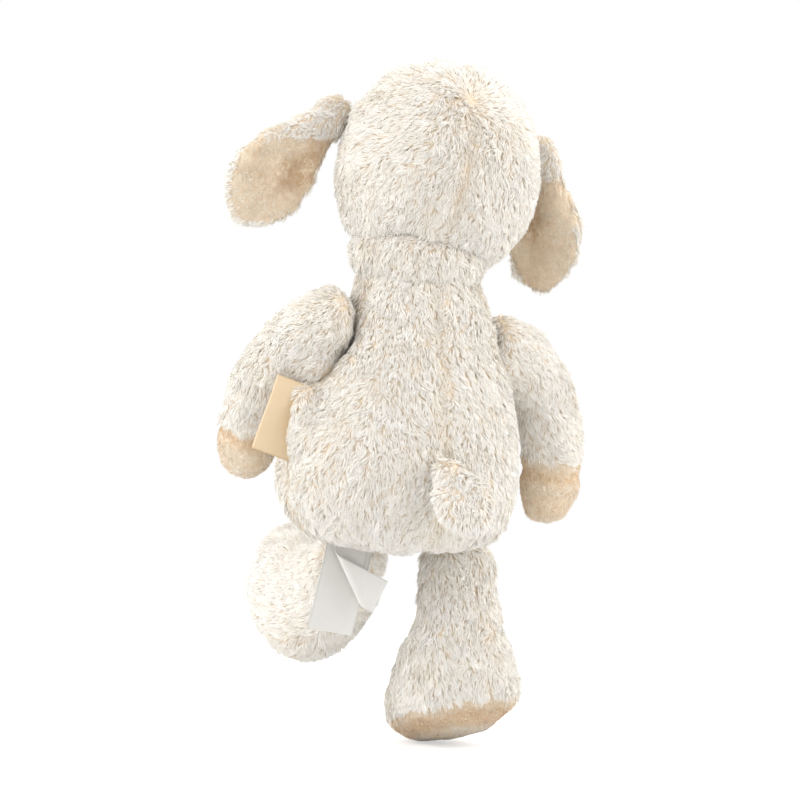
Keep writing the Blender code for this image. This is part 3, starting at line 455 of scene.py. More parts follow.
# Hairs to the square metre, their length and half width, their lift off the cloth in degrees at
# root and tip, the width of a tuft, and how far a tuft's hairs draw together and curl sideways
PILES = {
    "cream": {
        "yarn": cream_yarn,
        "density": 2.75e6,
        "length": 5.3 * MM,
        "radius": 0.155 * MM,
        "lift": (28, 17),
        "tuft": 2.4 * MM,
        "pull": 0.2,
        "curl": 0.22,
    },
    "tan": {
        "yarn": tan_yarn,
        "density": 3.6e6,
        "length": 2.2 * MM,
        "radius": 0.16 * MM,
        "lift": (36, 24),
        "tuft": 2.0 * MM,
        "pull": 0.25,
        "curl": 0.25,
    },
}
PILES["fibre"] = PILES["cream"]
SLOTS = {part["node"]: part["material_slot"] for part in frame["record"]["subparts"]}
# Each body's skins, with its stuffing where it has one
SOLIDS = {body: names + [n for n in nodes if n == body + "_stuffing"] for body, names in SKINS.items()}


def unit(vectors):
    """Each row brought to a length of one."""
    return vectors / np.maximum(np.linalg.norm(vectors, axis=1), 1e-9)[:, None]


def roots_on(form, density, dice, seam):
    """Points spread evenly over a form, with the direction outwards and the seam share at each."""
    mesh = form.data
    mesh.calc_loop_triangles()
    corners = np.empty(len(mesh.loop_triangles) * 3, np.int32)
    mesh.loop_triangles.foreach_get("vertices", corners)
    corners = corners.reshape(-1, 3)
    points = points_of(form)
    a, b, c = (points[corners[:, k]] for k in range(3))
    area = np.linalg.norm(np.cross(b - a, c - a), axis=1) / 2
    count = int(area.sum() * density)
    picked = dice.choice(len(area), size=count, p=area / area.sum())
    u = np.sqrt(dice.random(count))[:, None]
    v = dice.random(count)[:, None]
    shares = np.hstack([1 - u, u * (1 - v), u * v])
    face = corners[picked]
    roots = np.einsum("ij,ijk->ik", shares, points[face])
    outward = unit(np.einsum("ij,ijk->ik", shares, normals_of(form)[face]))
    return roots, outward, np.einsum("ij,ij->i", shares, seam[face])


def lay(outward, flow, turn):
    """The way that the pile lies at each root: the flow along the cloth, turned by an angle."""
    along = unit(flow - outward * np.sum(flow * outward, axis=1)[:, None])
    across = np.cross(outward, along)
    return along * np.cos(turn)[:, None] + across * np.sin(turn)[:, None]


def stroke(along, outward, lift, reach):
    """The run of each hair from one of its points to the next, lifted off the cloth."""
    return (along * np.cos(lift)[:, None] + outward * np.sin(lift)[:, None]) * reach[:, None]


# A leaf is shaded as a round hair: its upper faces mostly as the cloth under them, rounded
# across and towards the tip, and a little apart from hair to hair
NORMAL_SPREAD = 0.16
NORMAL_ACROSS = 0.3
NORMAL_AHEAD = 0.25


def hair_mesh(label, roots, waists, tips, outward, side, radius, shade, dice):
    """Closed leaves of four faces, one for each root, as one mesh with their map."""
    count = len(roots)
    first = waists + side * radius[:, None]
    second = waists - side * radius[:, None]
    turned_in = np.einsum("ij,ij->i", first - roots, np.cross(second - roots, tips - roots)) > 0
    first[turned_in], second[turned_in] = second[turned_in], first[turned_in].copy()
    points = np.stack([roots, first, second, tips], axis=1)
    faces = (LEAF[None] + 4 * np.arange(count)[:, None, None]).reshape(-1, 3)
    mesh = bpy.data.meshes.new(label)
    mesh.vertices.add(points.size // 3)
    mesh.vertices.foreach_set("co", points.ravel())
    mesh.loops.add(faces.size)
    mesh.loops.foreach_set("vertex_index", faces.ravel().astype(np.int32))
    mesh.polygons.add(len(faces))
    mesh.polygons.foreach_set("loop_start", np.arange(0, faces.size, 3, dtype=np.int32))
    mesh.polygons.foreach_set("use_smooth", np.ones(len(faces), bool))
    corner = LEAF.ravel()
    uv = np.empty((count, len(corner), 2))
    uv[:, :, 0] = np.array([0.0, HAIR_WAIST, HAIR_WAIST, 1.0])[corner]
    across = np.array([0.0, -1.0, 1.0, 0.0]) * MAP_WIDTH
    uv[:, :, 1] = np.clip(shade, MAP_MARGIN, 1 - MAP_MARGIN)[:, None] + across[corner]
    layer = mesh.uv_layers.new(name="OFBake")
    layer.data.foreach_set("uv", uv.astype(np.float32).ravel())
    mesh.update(calc_edges=True)
    base = unit(outward + NORMAL_SPREAD * dice.normal(size=(count, 3)))
    sideways = NORMAL_ACROSS * unit(first - second)
    ahead = NORMAL_AHEAD * unit(tips - waists)
    rounded = np.stack([base, base + sideways, base - sideways, base + ahead], axis=1)
    shown = rounded[:, corner]
    # The last two faces are the underside, and are shaded the way that they face
    shown[:, 6:9] = unit(np.cross(tips - roots, first - roots))[:, None]
    shown[:, 9:] = unit(np.cross(second - roots, tips - roots))[:, None]
    mesh.normals_split_custom_set(unit(shown.reshape(-1, 3)).tolist())
    return link_mesh(mesh)


# How far the pile strays from its flow, in radians: over broad waves, narrow ones, by tuft, by hair
BROAD_TURN = 0.3
BROAD_WAVE = 42 * MM
NARROW_TURN = 0.22
NARROW_WAVE = 11 * MM
TUFT_TURN = 0.24
HAIR_TURN = 0.2
HAIR_CURL = 0.2
LIFT_SPREAD = 4  # degrees
SIDE_SPREAD = 0.25 * MM
WAIST_PULL_SHARE = 0.35
# How the hairs' length and width vary by tuft, by hair, in patches and at the seams
TUFT_LENGTH_SHARES = (0.8, 1.15)
HAIR_LENGTH_SHARES = (0.75, 1.1)
HAIR_WIDTH_SHARES = (0.7, 1.3)
PATCH_SHARE = 0.12
PATCH_WAVE = 12 * MM
SEAM_SHARE = 0.25
# How the shade varies in clouds, by tuft and by hair, and the painted shade that makes the pile darker and warmer
# along the seams' grooves
CLOUD_SHADE = 0.07
CLOUD_WAVE = 30 * MM
TUFT_SHADE = 0.07
HAIR_SHADE = 0.05
PAINTED_SEAM_SHADE = 0.35
EVEN_SHADE = 0.5


def grow_skin(skin, body, kind, roots, outward, seam, flow, seed, shading):
    """Grows one skin's pile from these roots, as one piece."""
    dice = np.random.default_rng(seed)
    count = len(roots)
    tufts = roots[: max(1, int(count / (kind["density"] * kind["tuft"] ** 2)))]
    search = KDTree(len(tufts))
    for number, point in enumerate(tufts):
        search.insert(point, number)
    search.balance()
    near = np.array([search.find(p)[1] for p in roots])
    turn = BROAD_TURN * waves(roots, BROAD_WAVE, seed + 11)
    turn = turn + NARROW_TURN * waves(roots, NARROW_WAVE, seed + 12)
    turn += dice.normal(0, HAIR_TURN, count) + dice.normal(0, TUFT_TURN, len(tufts))[near]
    curl = dice.normal(0, kind["curl"], len(tufts))[near] + dice.normal(0, HAIR_CURL, count)
    size = kind["length"] * dice.uniform(*TUFT_LENGTH_SHARES, len(tufts))[near]
    size = size * dice.uniform(*HAIR_LENGTH_SHARES, count)
    size *= (1 + PATCH_SHARE * waves(roots, PATCH_WAVE, seed + 13)) * (1 - SEAM_SHARE * seam)
    at_root, at_tip = kind["lift"]
    low = np.radians(at_tip + dice.normal(0, LIFT_SPREAD, count))
    high = np.radians(at_root + dice.normal(0, LIFT_SPREAD, count))
    waists = roots + stroke(lay(outward, flow, turn), outward, high, size * HAIR_WAIST)
    tips = waists + stroke(lay(outward, flow, turn + curl), outward, low, size * (1 - HAIR_WAIST))
    tips += (tips[near] - tips) * kind["pull"]
    waists += (waists[near] - waists) * kind["pull"] * WAIST_PULL_SHARE + outward * WAIST_LIFT
    side = unit(np.cross(tips - roots, outward) + dice.normal(0, SIDE_SPREAD, (count, 3)))
    radius = kind["radius"] * dice.uniform(*HAIR_WIDTH_SHARES, count)
    # Near a seam the pile is painted darker and warmer: painted shade of the seam's groove.
    shade = shading + CLOUD_SHADE * waves(roots, CLOUD_WAVE, seed + 14) - PAINTED_SEAM_SHADE * seam
    shade += dice.normal(0, TUFT_SHADE, len(tufts))[near] + dice.normal(0, HAIR_SHADE, count)
    pile = hair_mesh(skin + "_pile", roots, waists, tips, outward, side, radius, shade, dice)
    pile.data.materials.append(kind["yarn"])
    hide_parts(skin)
    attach(pile, body)


def is_inside(tree, point):
    """Whether a point is in one of a tree's solids: a ray from there leaves them once more."""
    upwards = Vector((0.3, 0.2, 1)).normalized()  # slanting, so that it runs along no wall
    crossings = 0
    spot = tree.ray_cast(point, upwards)[0]
    while spot:
        crossings += 1
        spot = tree.ray_cast(spot + upwards * WELD, upwards)[0]
    return crossings % 2 == 1


def grow_pile(form, body, flow, seed, wrap=None, shading=None, hem=0, length=1, beside=(), lowest=-1.0):
    """Grows the pile of every skin of a body on its form, where no other part of the toy is.

    The body's second skin reaches over the seam by the hem, because no long pile grows there.
    The pile runs on under the bodies that it lies beside, and starts at the lowest height.
    """
    skins = SKINS[body]
    dice = np.random.default_rng(seed)
    own, owner = tree_of(skins)
    apart = [solids for other, solids in SOLIDS.items() if other != body and other not in beside]
    others, _ = tree_of([solid for solids in apart for solid in solids])
    kinds = [PILES[SLOTS[skin]] for skin in skins]
    densest = max(kind["density"] for kind in kinds)
    seam = near_seam(points_of(form), [] if wrap else skins)
    roots, outward, seam = roots_on(form, densest, dice, seam)

    def is_free(point):
        spot, normal, _, distance = others.find_nearest(point)
        if distance <= NEIGHBOUR_GAP:
            return False
        return (point - spot).dot(normal) > 0 or not is_inside(others, point)

    free = np.array([p[2] > lowest and is_free(Vector(p)) for p in roots])
    roots, outward, seam = roots[free], outward[free], seam[free]
    index = np.array([owner[own.find_nearest(Vector(p))[2]] for p in roots])
    if wrap:
        index = wrap(roots, index)
    if hem:
        second, _ = tree_of(skins[1:2])
        index[[second.find_nearest(Vector(p))[3] < hem for p in roots]] = 1
    tone = shading(roots) if shading else np.full(len(roots), EVEN_SHADE)
    for number, (skin, kind) in enumerate(zip(skins, kinds)):
        picked = np.flatnonzero(index == number)
        picked = picked[: min(MOST_HAIRS, int(len(picked) * kind["density"] / densest))]
        kind = kind | {"length": kind["length"] * length}
        grow_skin(
            skin,
            body,
            kind,
            roots[picked],
            outward[picked],
            seam[picked],
            flow(roots[picked]),
            seed + number,
            tone[picked],
        )


# Where the ribbon leaves the left side seam, the way it stands out, and how the pile follows it
RIBBON_SPOT = np.array([64.1, 33.65, 166.4]) * MM
RIBBON_OUT = np.array([0.93667, 0.0, 0.35021])
RIBBON_REACH = 20 * MM
RIBBON_FLOW = 1.2
DOWN = np.array([0.0, 0.0, -1.0])


def downwards(points):
    """Straight down, and out over the ribbon's root where it leaves the side seam."""
    near = np.exp(-((np.linalg.norm(points - RIBBON_SPOT, axis=1) / RIBBON_REACH) ** 2))
    return DOWN + RIBBON_FLOW * near[:, None] * RIBBON_OUT


grow_pile(torso_form, "torso", downwards, 100)


# The neck is a soft ball of stuffing in the seam where the head is sewn to the torso. The cloth
# gathers round it in a collar of cream pile that fills the seam.
COLLAR_SIZE = (33 * MM, 33 * MM, 24 * MM)
COLLAR_RISE = 8 * MM
COLLAR_FOOT = 234 * MM
COLLAR_TILT = math.radians(8)
low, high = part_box("neck_stuffing")
collar_middle = (low + high) / 2 + Vector((0, 0, COLLAR_RISE))
neck_form = stuffed_form(
    "neck", [], 5, depth=0, seam_pull=0, bulges=[(collar_middle, COLLAR_SIZE, COLLAR_TILT)]
)
neck_form.data.materials.append(cream_backing)
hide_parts("neck_stuffing")
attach(neck_form, "neck")
grow_pile(neck_form, "neck", downwards, 150, beside=("head", "torso"), lowest=COLLAR_FOOT)


# The head is sewn from two back panels and a face panel of short tan pile, and stuffed firmly.
# The pile parts in a whorl high on the back of the head. It lies forward over the crown, and down
# from there to hang over the seam at the neck.
head_form = stuffed_form("head", ["head_stuffing"], 2)
head_form.data.materials.append(cream_backing)
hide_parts("head_stuffing")
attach(head_form, "head")
head_low, head_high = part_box("head_stuffing")
WHORL_ASIDE = 4 * MM  # to the toy's right of the middle
WHORL_DEEP = 14 * MM  # in from the back
WHORL_LOW = 32 * MM  # below the crown
WHORL_PULL = 0.9
HEAD_DROOP = 0.6


def from_whorl(points):
    """Away from the whorl on all sides, and a little downwards."""
    middle = (head_low.x + head_high.x) / 2
    whorl = np.array([middle - WHORL_ASIDE, head_high.y - WHORL_DEEP, head_high.z - WHORL_LOW])
    return unit(points - whorl) * WHORL_PULL + DOWN * HEAD_DROOP


grow_pile(head_form, "head", from_whorl, 200)


# Each ear is two layers of pile cloth sewn edge to edge, cream in front and tan behind, cupped,
# with no stuffing. At its root and along one edge the cream layer is rolled over to the back.
EAR_VOXEL = 1.8 * MM
EAR_SMOOTHING = 2
EAR_DEPTH = 0.2 * MM
EAR_PILE_SHARE = 0.8
EAR_LENGTH = 70 * MM
EAR_HALF_WIDTH = 22 * MM
EAR_STRETCH = {"left": 0.06, "right": -0.03}
# The dish in an ear's back: its depth, its middle and reach along and across, as shares of the
# ear, and the pile's shade round it and how much painted shade darkens its middle, in the hollow
DISH_DEPTH = 3 * MM
DISH_MIDDLE = (0.44, -0.35)
DISH_REACH = (0.22, 0.35)
EAR_SHADE_AND_PAINTED_DISH_SHADE = (0.55, 0.5)
# How far in from the middle the cream reaches over the back, root to tip, as shares of the ear
ROLL = {
    "left": (
        (0.0, -1.5),
        (0.06, -1.5),
        (0.1, -0.4),
        (0.29, 0.2),
        (0.39, 0.52),
        (0.53, 0.8),
        (0.64, 1.5),
    ),
    "right": (
        (0.0, -1.5),
        (0.1, -1.5),
        (0.18, 0.5),
        (0.4, 0.8),
        (0.9, 0.84),
        (1.0, 0.95),
        (1.1, 1.5),
    ),
}
ROLL_WANDER = 0.1
ROLL_WAVE = 6 * MM
ROLLED_EDGE = {"left": 1, "right": -1}
JOINTS = {joint["child"]: joint for joint in frame["joints"]}


def ear_places(body, side):
    """A function that gives how far along, across and through the ear each point is, and its way."""
    hinge = np.array(JOINTS[body]["pos_m"])
    through = np.array(JOINTS[body]["axis"])
    low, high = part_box(body + "_inner")
    along = np.array((low + high) / 2) - hinge
    along -= through * along.dot(through)
    along /= np.linalg.norm(along)
    across = np.cross(through, -along) * ROLLED_EDGE[side]

    def places(points):
        reach = points - hinge
        return reach @ along / EAR_LENGTH, reach @ across / EAR_HALF_WIDTH, reach @ through

    return places, along


def hollow(along, across):
    """The dished part of an ear's back, strongest near its lower edge."""
    aside = (along - DISH_MIDDLE[0]) / DISH_REACH[0], (across - DISH_MIDDLE[1]) / DISH_REACH[1]
    return np.exp(-(aside[0] ** 2) - aside[1] ** 2)


tan_backing = knitted_backing("tan_backing", tint(240, 221, 194), tint(248, 234, 212))
for side, seed in (("left", 300), ("right", 320)):
    body = "ear_" + side
    form = stuffed_form(
        body, [], seed, voxel=EAR_VOXEL, smoothing=EAR_SMOOTHING, depth=EAR_DEPTH, seam_pull=0
    )
    places, lengthwise = ear_places(body, side)
    along, across, deep = places(points_of(form))
    press = DISH_DEPTH * hollow(along, across) * (deep > 0)
    stretch = EAR_STRETCH[side] * EAR_LENGTH * np.maximum(along, 0)
    pressed = points_of(form) - np.array(JOINTS[body]["axis"]) * press[:, None]
    place_points(form, pressed + lengthwise * stretch[:, None])
    form.data.materials.append(tan_backing)
    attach(form, body)

    def rolled_over(points, index):
        along, across, _ = places(points)
        limit = np.interp(along, *zip(*ROLL[side]))
        limit += ROLL_WANDER * waves(points, ROLL_WAVE, seed + 5)
        return np.where((index == 1) & (across > limit), 0, index)

    # The pile is painted darker in the dish: painted shade in the ear's hollow.
    def painted_dish_shade(points):
        along, across, _ = places(points)
        return EAR_SHADE_AND_PAINTED_DISH_SHADE[0] - EAR_SHADE_AND_PAINTED_DISH_SHADE[1] * hollow(along, across)

    def outwards(points):
        return np.tile(lengthwise, (len(points), 1))

    grow_pile(form, body, outwards, seed, rolled_over, painted_dish_shade, length=EAR_PILE_SHARE)


# The arms hang from the shoulders: a cream sleeve, and a tan mitt sewn on at its cuff.
# The pile lies along the arm towards the mitt.
def towards(point):
    """A flow of the pile that runs to this point from everywhere."""

    def flow(points):
        return np.array(point) - points

    return flow


def past_end(body, end):
    """A point past the far end of a limb, seen from its hinge."""
    low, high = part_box(end)
    hinge = Vector(JOINTS[body]["pos_m"])
    return hinge + ((low + high) / 2 - hinge) * 2


ARM_DEPTH = 1.1 * MM
# How far the mitt's short pile reaches over the seam at each cuff
CUFFS = {"left": 5.5 * MM, "right": 9 * MM}
# The middle and the half sizes of the soft fold that fills each armpit
ARMPITS = {
    "left": [((50.5 * MM, 23.6 * MM, 195.5 * MM), (14 * MM, 13 * MM, 13.5 * MM))],
    "right": [((-47 * MM, 23.6 * MM, 192 * MM), (9 * MM, 12 * MM, 10 * MM))],
}
for side, seed in (("left", 400), ("right", 420)):
    body = "arm_" + side
    form = stuffed_form(body, [body + "_stuffing"], seed, depth=ARM_DEPTH, bulges=ARMPITS[side])
    form.data.materials.append(cream_backing)
    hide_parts(body + "_stuffing")
    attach(form, body)
    grow_pile(form, body, towards(past_end(body, body + "_mitt")), seed, hem=CUFFS[side])


# The legs are cream sleeves that end in broad feet, each closed by a tan sole sewn on round its
# edge. The pile lies down along the leg.
LEG_SMOOTHING = 11
SOLE_HEM = 9 * MM  # how far the sole's short pile reaches over its seam
for side, seed in (("left", 500), ("right", 520)):
    body = "leg_" + side
    form = stuffed_form(body, [body + "_stuffing"], seed, smoothing=LEG_SMOOTHING)
    form.data.materials.append(cream_backing)
    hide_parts(body + "_stuffing")
    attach(form, body)
    grow_pile(form, body, towards(past_end(body, body + "_sole")), seed, hem=SOLE_HEM)


# The tail is a short stuffed stub of the same cream cloth, sewn on at the back. Its pile hangs
# straight down.
TAIL_VOXEL = 3 * MM
TAIL_DEPTH = 1.2 * MM
tail_form = stuffed_form("tail", ["tail_stuffing"], 600, voxel=TAIL_VOXEL, depth=TAIL_DEPTH)
tail_form.data.materials.append(cream_backing)
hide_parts("tail_stuffing")
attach(tail_form, "tail")
grow_pile(tail_form, "tail", downwards, 600)


# Three sewn-in labels of woven satin with heat-cut edges: a cream ribbon folded double in the left
# side seam, and two white washing labels, a long and a short one, in the seam under the seat.
CLOTH = 0.35 * MM
THREAD = 0.3 * MM
THREAD_LENGTHENING = 1.6
CUT_EDGE = (0.9 * MM, 0.5 * MM)
SOILING_SCALE = 160
WEAVE_STRENGTH = 0.4
WEAVE_BUMP = 0.05 * MM
CREASE = math.radians(50)


def weave_group():
    """Satin: fine threads both ways, a firmer thread along each cut edge, and faint soiling."""
    taken = {"Vector": "Vector", "Half width": "Float", "Ground": "Color"}
    taken |= {"Thread": "Color", "Edge": "Color"}
    given = {"Color": "Color", "Roughness": "Float", "Height": "Float"}
    group, start, end = new_group("weave", taken, given)
    split = group.nodes.new("ShaderNodeSeparateXYZ")
    group.links.new(start.outputs["Vector"], split.inputs["Vector"])
    heights = []
    for axis, spacing in (("X", THREAD), ("Y", THREAD * THREAD_LENGTHENING)):
        angle = mapped(group, split.outputs[axis], 0.0, spacing, 0.0, math.tau)
        angle.node.clamp = False
        swing = group.nodes.new("ShaderNodeMath")
        swing.operation = "SINE"
        group.links.new(angle, swing.inputs[0])
        heights.append(mapped(group, swing.outputs["Value"], -1.0, 1.0, 0.0, 1.0))
    crossed = group.nodes.new("ShaderNodeMath")
    crossed.operation = "MULTIPLY"
    group.links.new(heights[0], crossed.inputs[0])
    group.links.new(heights[1], crossed.inputs[1])
    woven = mixed(group, crossed.outputs["Value"], start.outputs["Thread"], start.outputs["Ground"])
    cloud = group.nodes.new("ShaderNodeTexNoise")
    cloud.inputs["Scale"].default_value = SOILING_SCALE
    group.links.new(start.outputs["Vector"], cloud.inputs["Vector"])
    soiling = mapped(group, cloud.outputs["Fac"], 0.45, 0.75, 0.0, 0.5)
    soiled = mixed(group, soiling, woven, start.outputs["Thread"])
    out = group.nodes.new("ShaderNodeMath")
    out.operation = "ABSOLUTE"
    group.links.new(split.outputs["X"], out.inputs[0])
    margin = group.nodes.new("ShaderNodeMath")
    margin.operation = "SUBTRACT"
    group.links.new(start.outputs["Half width"], margin.inputs[0])
    group.links.new(out.outputs["Value"], margin.inputs[1])
    edge = mapped(group, margin.outputs["Value"], *CUT_EDGE, 0.0, 1.0)
    group.links.new(mixed(group, edge, soiled, start.outputs["Edge"]), end.inputs["Color"])
    rough = mapped(group, crossed.outputs["Value"], 0.0, 1.0, 0.6, 0.4)
    group.links.new(rough, end.inputs["Roughness"])
    group.links.new(crossed.outputs["Value"], end.inputs["Height"])
    return group


weave = weave_group()


def satin(name, half_width, ground, thread, edge):
    """Woven satin of this half width, in the colours of its ground, its threads and its cut edges."""
    material, tree, shader = new_material(name, specular=0.35, sheen=0.15)
    place = tree.nodes.new("ShaderNodeUVMap")
    place.uv_map = "cloth"
    values = {"Half width": half_width, "Ground": ground, "Thread": thread, "Edge": edge}
    cloth = use_group(tree, weave, values, {"Vector": place.outputs["UV"]})
    tree.links.new(cloth.outputs["Color"], shader.inputs["Base Color"])
    tree.links.new(cloth.outputs["Roughness"], shader.inputs["Roughness"])
    bump = tree.nodes.new("ShaderNodeBump")
    bump.inputs["Strength"].default_value = WEAVE_STRENGTH
    bump.inputs["Distance"].default_value = WEAVE_BUMP
    tree.links.new(cloth.outputs["Height"], bump.inputs["Height"])
    tree.links.new(bump.outputs["Normal"], shader.inputs["Normal"])
    return material


def label_piece(name, node, grid, flat_places, material):
    """A label over a grid of points, with a map of where each point was on the flat cloth."""
    rows, columns = grid.shape[:2]
    mesh = bpy.data.meshes.new(name)
    faces = []
    for row in range(rows - 1):
        for column in range(columns - 1):
            first = row * columns + column
            faces.append((first, first + 1, first + columns + 1, first + columns))
    mesh.from_pydata(grid.reshape(-1, 3).tolist(), [], faces)
    layer = mesh.uv_layers.new(name="cloth")
    places = flat_places.reshape(-1, 2)
    for loop in mesh.loops:
        layer.data[loop.index].uv = places[loop.vertex_index]
    piece = link_mesh(mesh)
    piece.data.materials.append(material)
    apply_modifier(piece, "SOLIDIFY", thickness=CLOTH, offset=0, use_even_offset=True)
    shade_smooth(piece)
    only(piece)
    bpy.ops.object.shade_smooth_by_angle(angle=CREASE)
    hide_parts(node)
    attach(piece, "torso")
    return piece


# The ribbon stands out of the side seam, and its fold is the far edge.
RIBBON_UP = np.array([-0.35021, 0.0, 0.93667])
RIBBON_WIDTH = 38 * MM
RIBBON_PROUD = 16 * MM
RIBBON_TUCK = 3.5 * MM
RIBBON_APART = 0.8 * MM
RIBBON_FLAT_STEPS = 7
RIBBON_FOLD_STEPS = 8
RIBBON_ROWS = 17
RIBBON_RIPPLE = 0.35 * MM
RIBBON_RIPPLE_RATE = 9
RIBBON_RIPPLE_START = 0.6
BACKWARD = np.array([0.0, 1.0, 0.0])


def ribbon_path():
    """How far out and how far back the ribbon runs, and its length up to each of these points."""
    bend = RIBBON_PROUD - RIBBON_APART
    run_out = [
        -RIBBON_TUCK + (bend + RIBBON_TUCK) * step / RIBBON_FLAT_STEPS
        for step in range(RIBBON_FLAT_STEPS + 1)
    ]
    path = [(out, -RIBBON_APART) for out in run_out]
    for step in range(1, RIBBON_FOLD_STEPS):
        angle = math.pi * step / RIBBON_FOLD_STEPS - math.pi / 2
        path.append((bend + RIBBON_APART * math.cos(angle), RIBBON_APART * math.sin(angle)))
    path += [(out, RIBBON_APART) for out in reversed(run_out)]
    path = np.array(path)
    run = np.concatenate([[0], np.cumsum(np.linalg.norm(np.diff(path, axis=0), axis=1))])
    return path, run


ribbon_satin = satin(
    "ribbon_satin", RIBBON_WIDTH / 2, tint(235, 213, 180), tint(224, 199, 163), tint(217, 190, 152)
)
path, run = ribbon_path()
up = np.linspace(-0.5, 0.5, RIBBON_ROWS)
grid = RIBBON_SPOT + path[:, None, 0, None] * RIBBON_OUT + path[:, None, 1, None] * BACKWARD
grid = grid + (up * RIBBON_WIDTH)[None, :, None] * RIBBON_UP
swell = RIBBON_RIPPLE * np.sin(up * RIBBON_RIPPLE_RATE + RIBBON_RIPPLE_START)
ripple = swell[None, :] * np.clip(path[:, 0] / RIBBON_PROUD, 0, 1)[:, None]
grid = grid + ripple[:, :, None] * BACKWARD
flat_places = np.stack(np.broadcast_arrays((up * RIBBON_WIDTH)[None, :], run[:, None]), axis=2)
label_piece("ribbon_cloth", "ribbon_label", grid, flat_places, ribbon_satin)

# The long washing label hangs flat, and the short one curls back over it on a slanting fold.
LABEL_SPOT = np.array([36.20, 33.65, 104.92]) * MM
LABEL_ACROSS = np.array([0.97992, 0.0, 0.19937])
LABEL_DOWN = np.array([0.19937, 0.0, -0.97992])
LABEL_WIDTH = 23.5 * MM
LABEL_LENGTH = 43 * MM
LABEL_TUCK = 3.5 * MM
LABEL_GRID = (25, 13)
LABEL_SWAY = 6 * MM
LABEL_RIPPLE = 0.5 * MM
LABEL_RIPPLE_RATES = (5, 4)
CURL_WIDTH = 17.5 * MM
CURL_LENGTH = 35 * MM
CURL_GRID = (61, 33)
CURL_BACK = 2.6 * MM
CURL_RADIUS = 2.2 * MM
CURL_STRAIGHT = 10.5 * MM
CURL_FOLD = math.radians(53)
CURL_OPENING = 0.03
# The white satin's ground, its threads and its cut edges
WHITES = (tint(233, 231, 226), tint(219, 217, 211), tint(208, 206, 200))


def hanging(width, length, rows, columns):
    """Flat places of a label's grid, across and down from where it leaves the seam."""
    across = np.linspace(-width / 2, width / 2, columns)[None, :]
    down = np.linspace(-LABEL_TUCK, length, rows)[:, None]
    return np.stack(np.broadcast_arrays(across, down), axis=2)


def long_label():
    """The flat places of the long label, and where each of them hangs."""
    flat = hanging(LABEL_WIDTH, LABEL_LENGTH, *LABEL_GRID)
    share = np.clip((flat[:, :, 1:] + LABEL_TUCK) / (LABEL_LENGTH + LABEL_TUCK), 0, 1)
    across, down = LABEL_RIPPLE_RATES
    ripple = LABEL_RIPPLE * np.sin(flat[:, :, :1] / LABEL_WIDTH * across + share * down) * share
    grid = LABEL_SPOT + flat[:, :, :1] * LABEL_ACROSS + flat[:, :, 1:] * LABEL_DOWN
    return flat, grid - BACKWARD * (LABEL_SWAY * share**2 + ripple)


def short_label():
    """The flat places of the short label, and where each of them lies once it is folded over."""
    flat = hanging(CURL_WIDTH, CURL_LENGTH, *CURL_GRID)
    fold = np.array([math.sin(CURL_FOLD), math.cos(CURL_FOLD)])
    half_turn = math.pi * CURL_RADIUS
    past = (flat - np.array([0, CURL_STRAIGHT])) @ fold
    turned = np.clip(past, 0, half_turn) / CURL_RADIUS
    back = np.maximum(past - half_turn, 0)
    kept = flat - np.maximum(past, 0)[:, :, None] * fold
    kept = kept + (CURL_RADIUS * np.sin(turned) - back)[:, :, None] * fold
    lift = CURL_RADIUS * (1 - np.cos(turned)) + CURL_OPENING * back
    grid = LABEL_SPOT + kept[:, :, :1] * LABEL_ACROSS + kept[:, :, 1:] * LABEL_DOWN
    return flat, grid + BACKWARD * (CURL_BACK + lift)[:, :, None]


for kind, width, length, (flat_places, grid) in (
    ("long", LABEL_WIDTH, LABEL_LENGTH, long_label()),
    ("short", CURL_WIDTH, CURL_LENGTH, short_label()),
):
    cloth = satin(kind + "_label_satin", width / 2, *WHITES)
    node = "care_label_" + kind
    label = label_piece(kind + "_label_cloth", node, grid, flat_places, cloth)
    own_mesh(label)


# The eyes are glossy black domes on ribbed shanks, each locked by a clear washer inside the head.
# The nose is a pad of satin stitches.
PLASTIC_SCALE = 220
PLASTIC_BUMP = 0.02 * MM
STITCH_SCALE = 900
STITCH_BUMP = 0.2 * MM
eye_plastic = mottled(
    "eye_plastic",
    tint(12, 10, 10),
    tint(26, 22, 20),
    PLASTIC_SCALE,
    0.06,
    0.12,
    PLASTIC_BUMP,
    specular=0.6,
)
washer_plastic = mottled(
    "washer_plastic",
    tint(214, 218, 222),
    tint(228, 230, 232),
    PLASTIC_SCALE,
    0.35,
    0.5,
    PLASTIC_BUMP,
    specular=0.5,
)
nose_thread = mottled(
    "nose_thread",
    tint(92, 66, 50),
    tint(116, 86, 66),
    STITCH_SCALE,
    0.5,
    0.65,
    STITCH_BUMP,
    specular=0.3,
)
for side in ("left", "right"):
    eye = copy_nodes("eye_%s_dome" % side, ["eye_" + side])
    eye.data.materials.append(eye_plastic)
    apply_modifier(eye, "SUBSURF", levels=2, render_levels=2)
    shade_smooth(eye)
    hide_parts("eye_" + side)
    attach(eye, "head")
    nodes["eye_washer_" + side].material_slots[0].material = washer_plastic
nose = copy_nodes("nose_stitches", ["nose"])
nose.data.materials.append(nose_thread)
apply_modifier(nose, "SUBSURF", levels=2, render_levels=2)
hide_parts("nose")
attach(nose, "head")


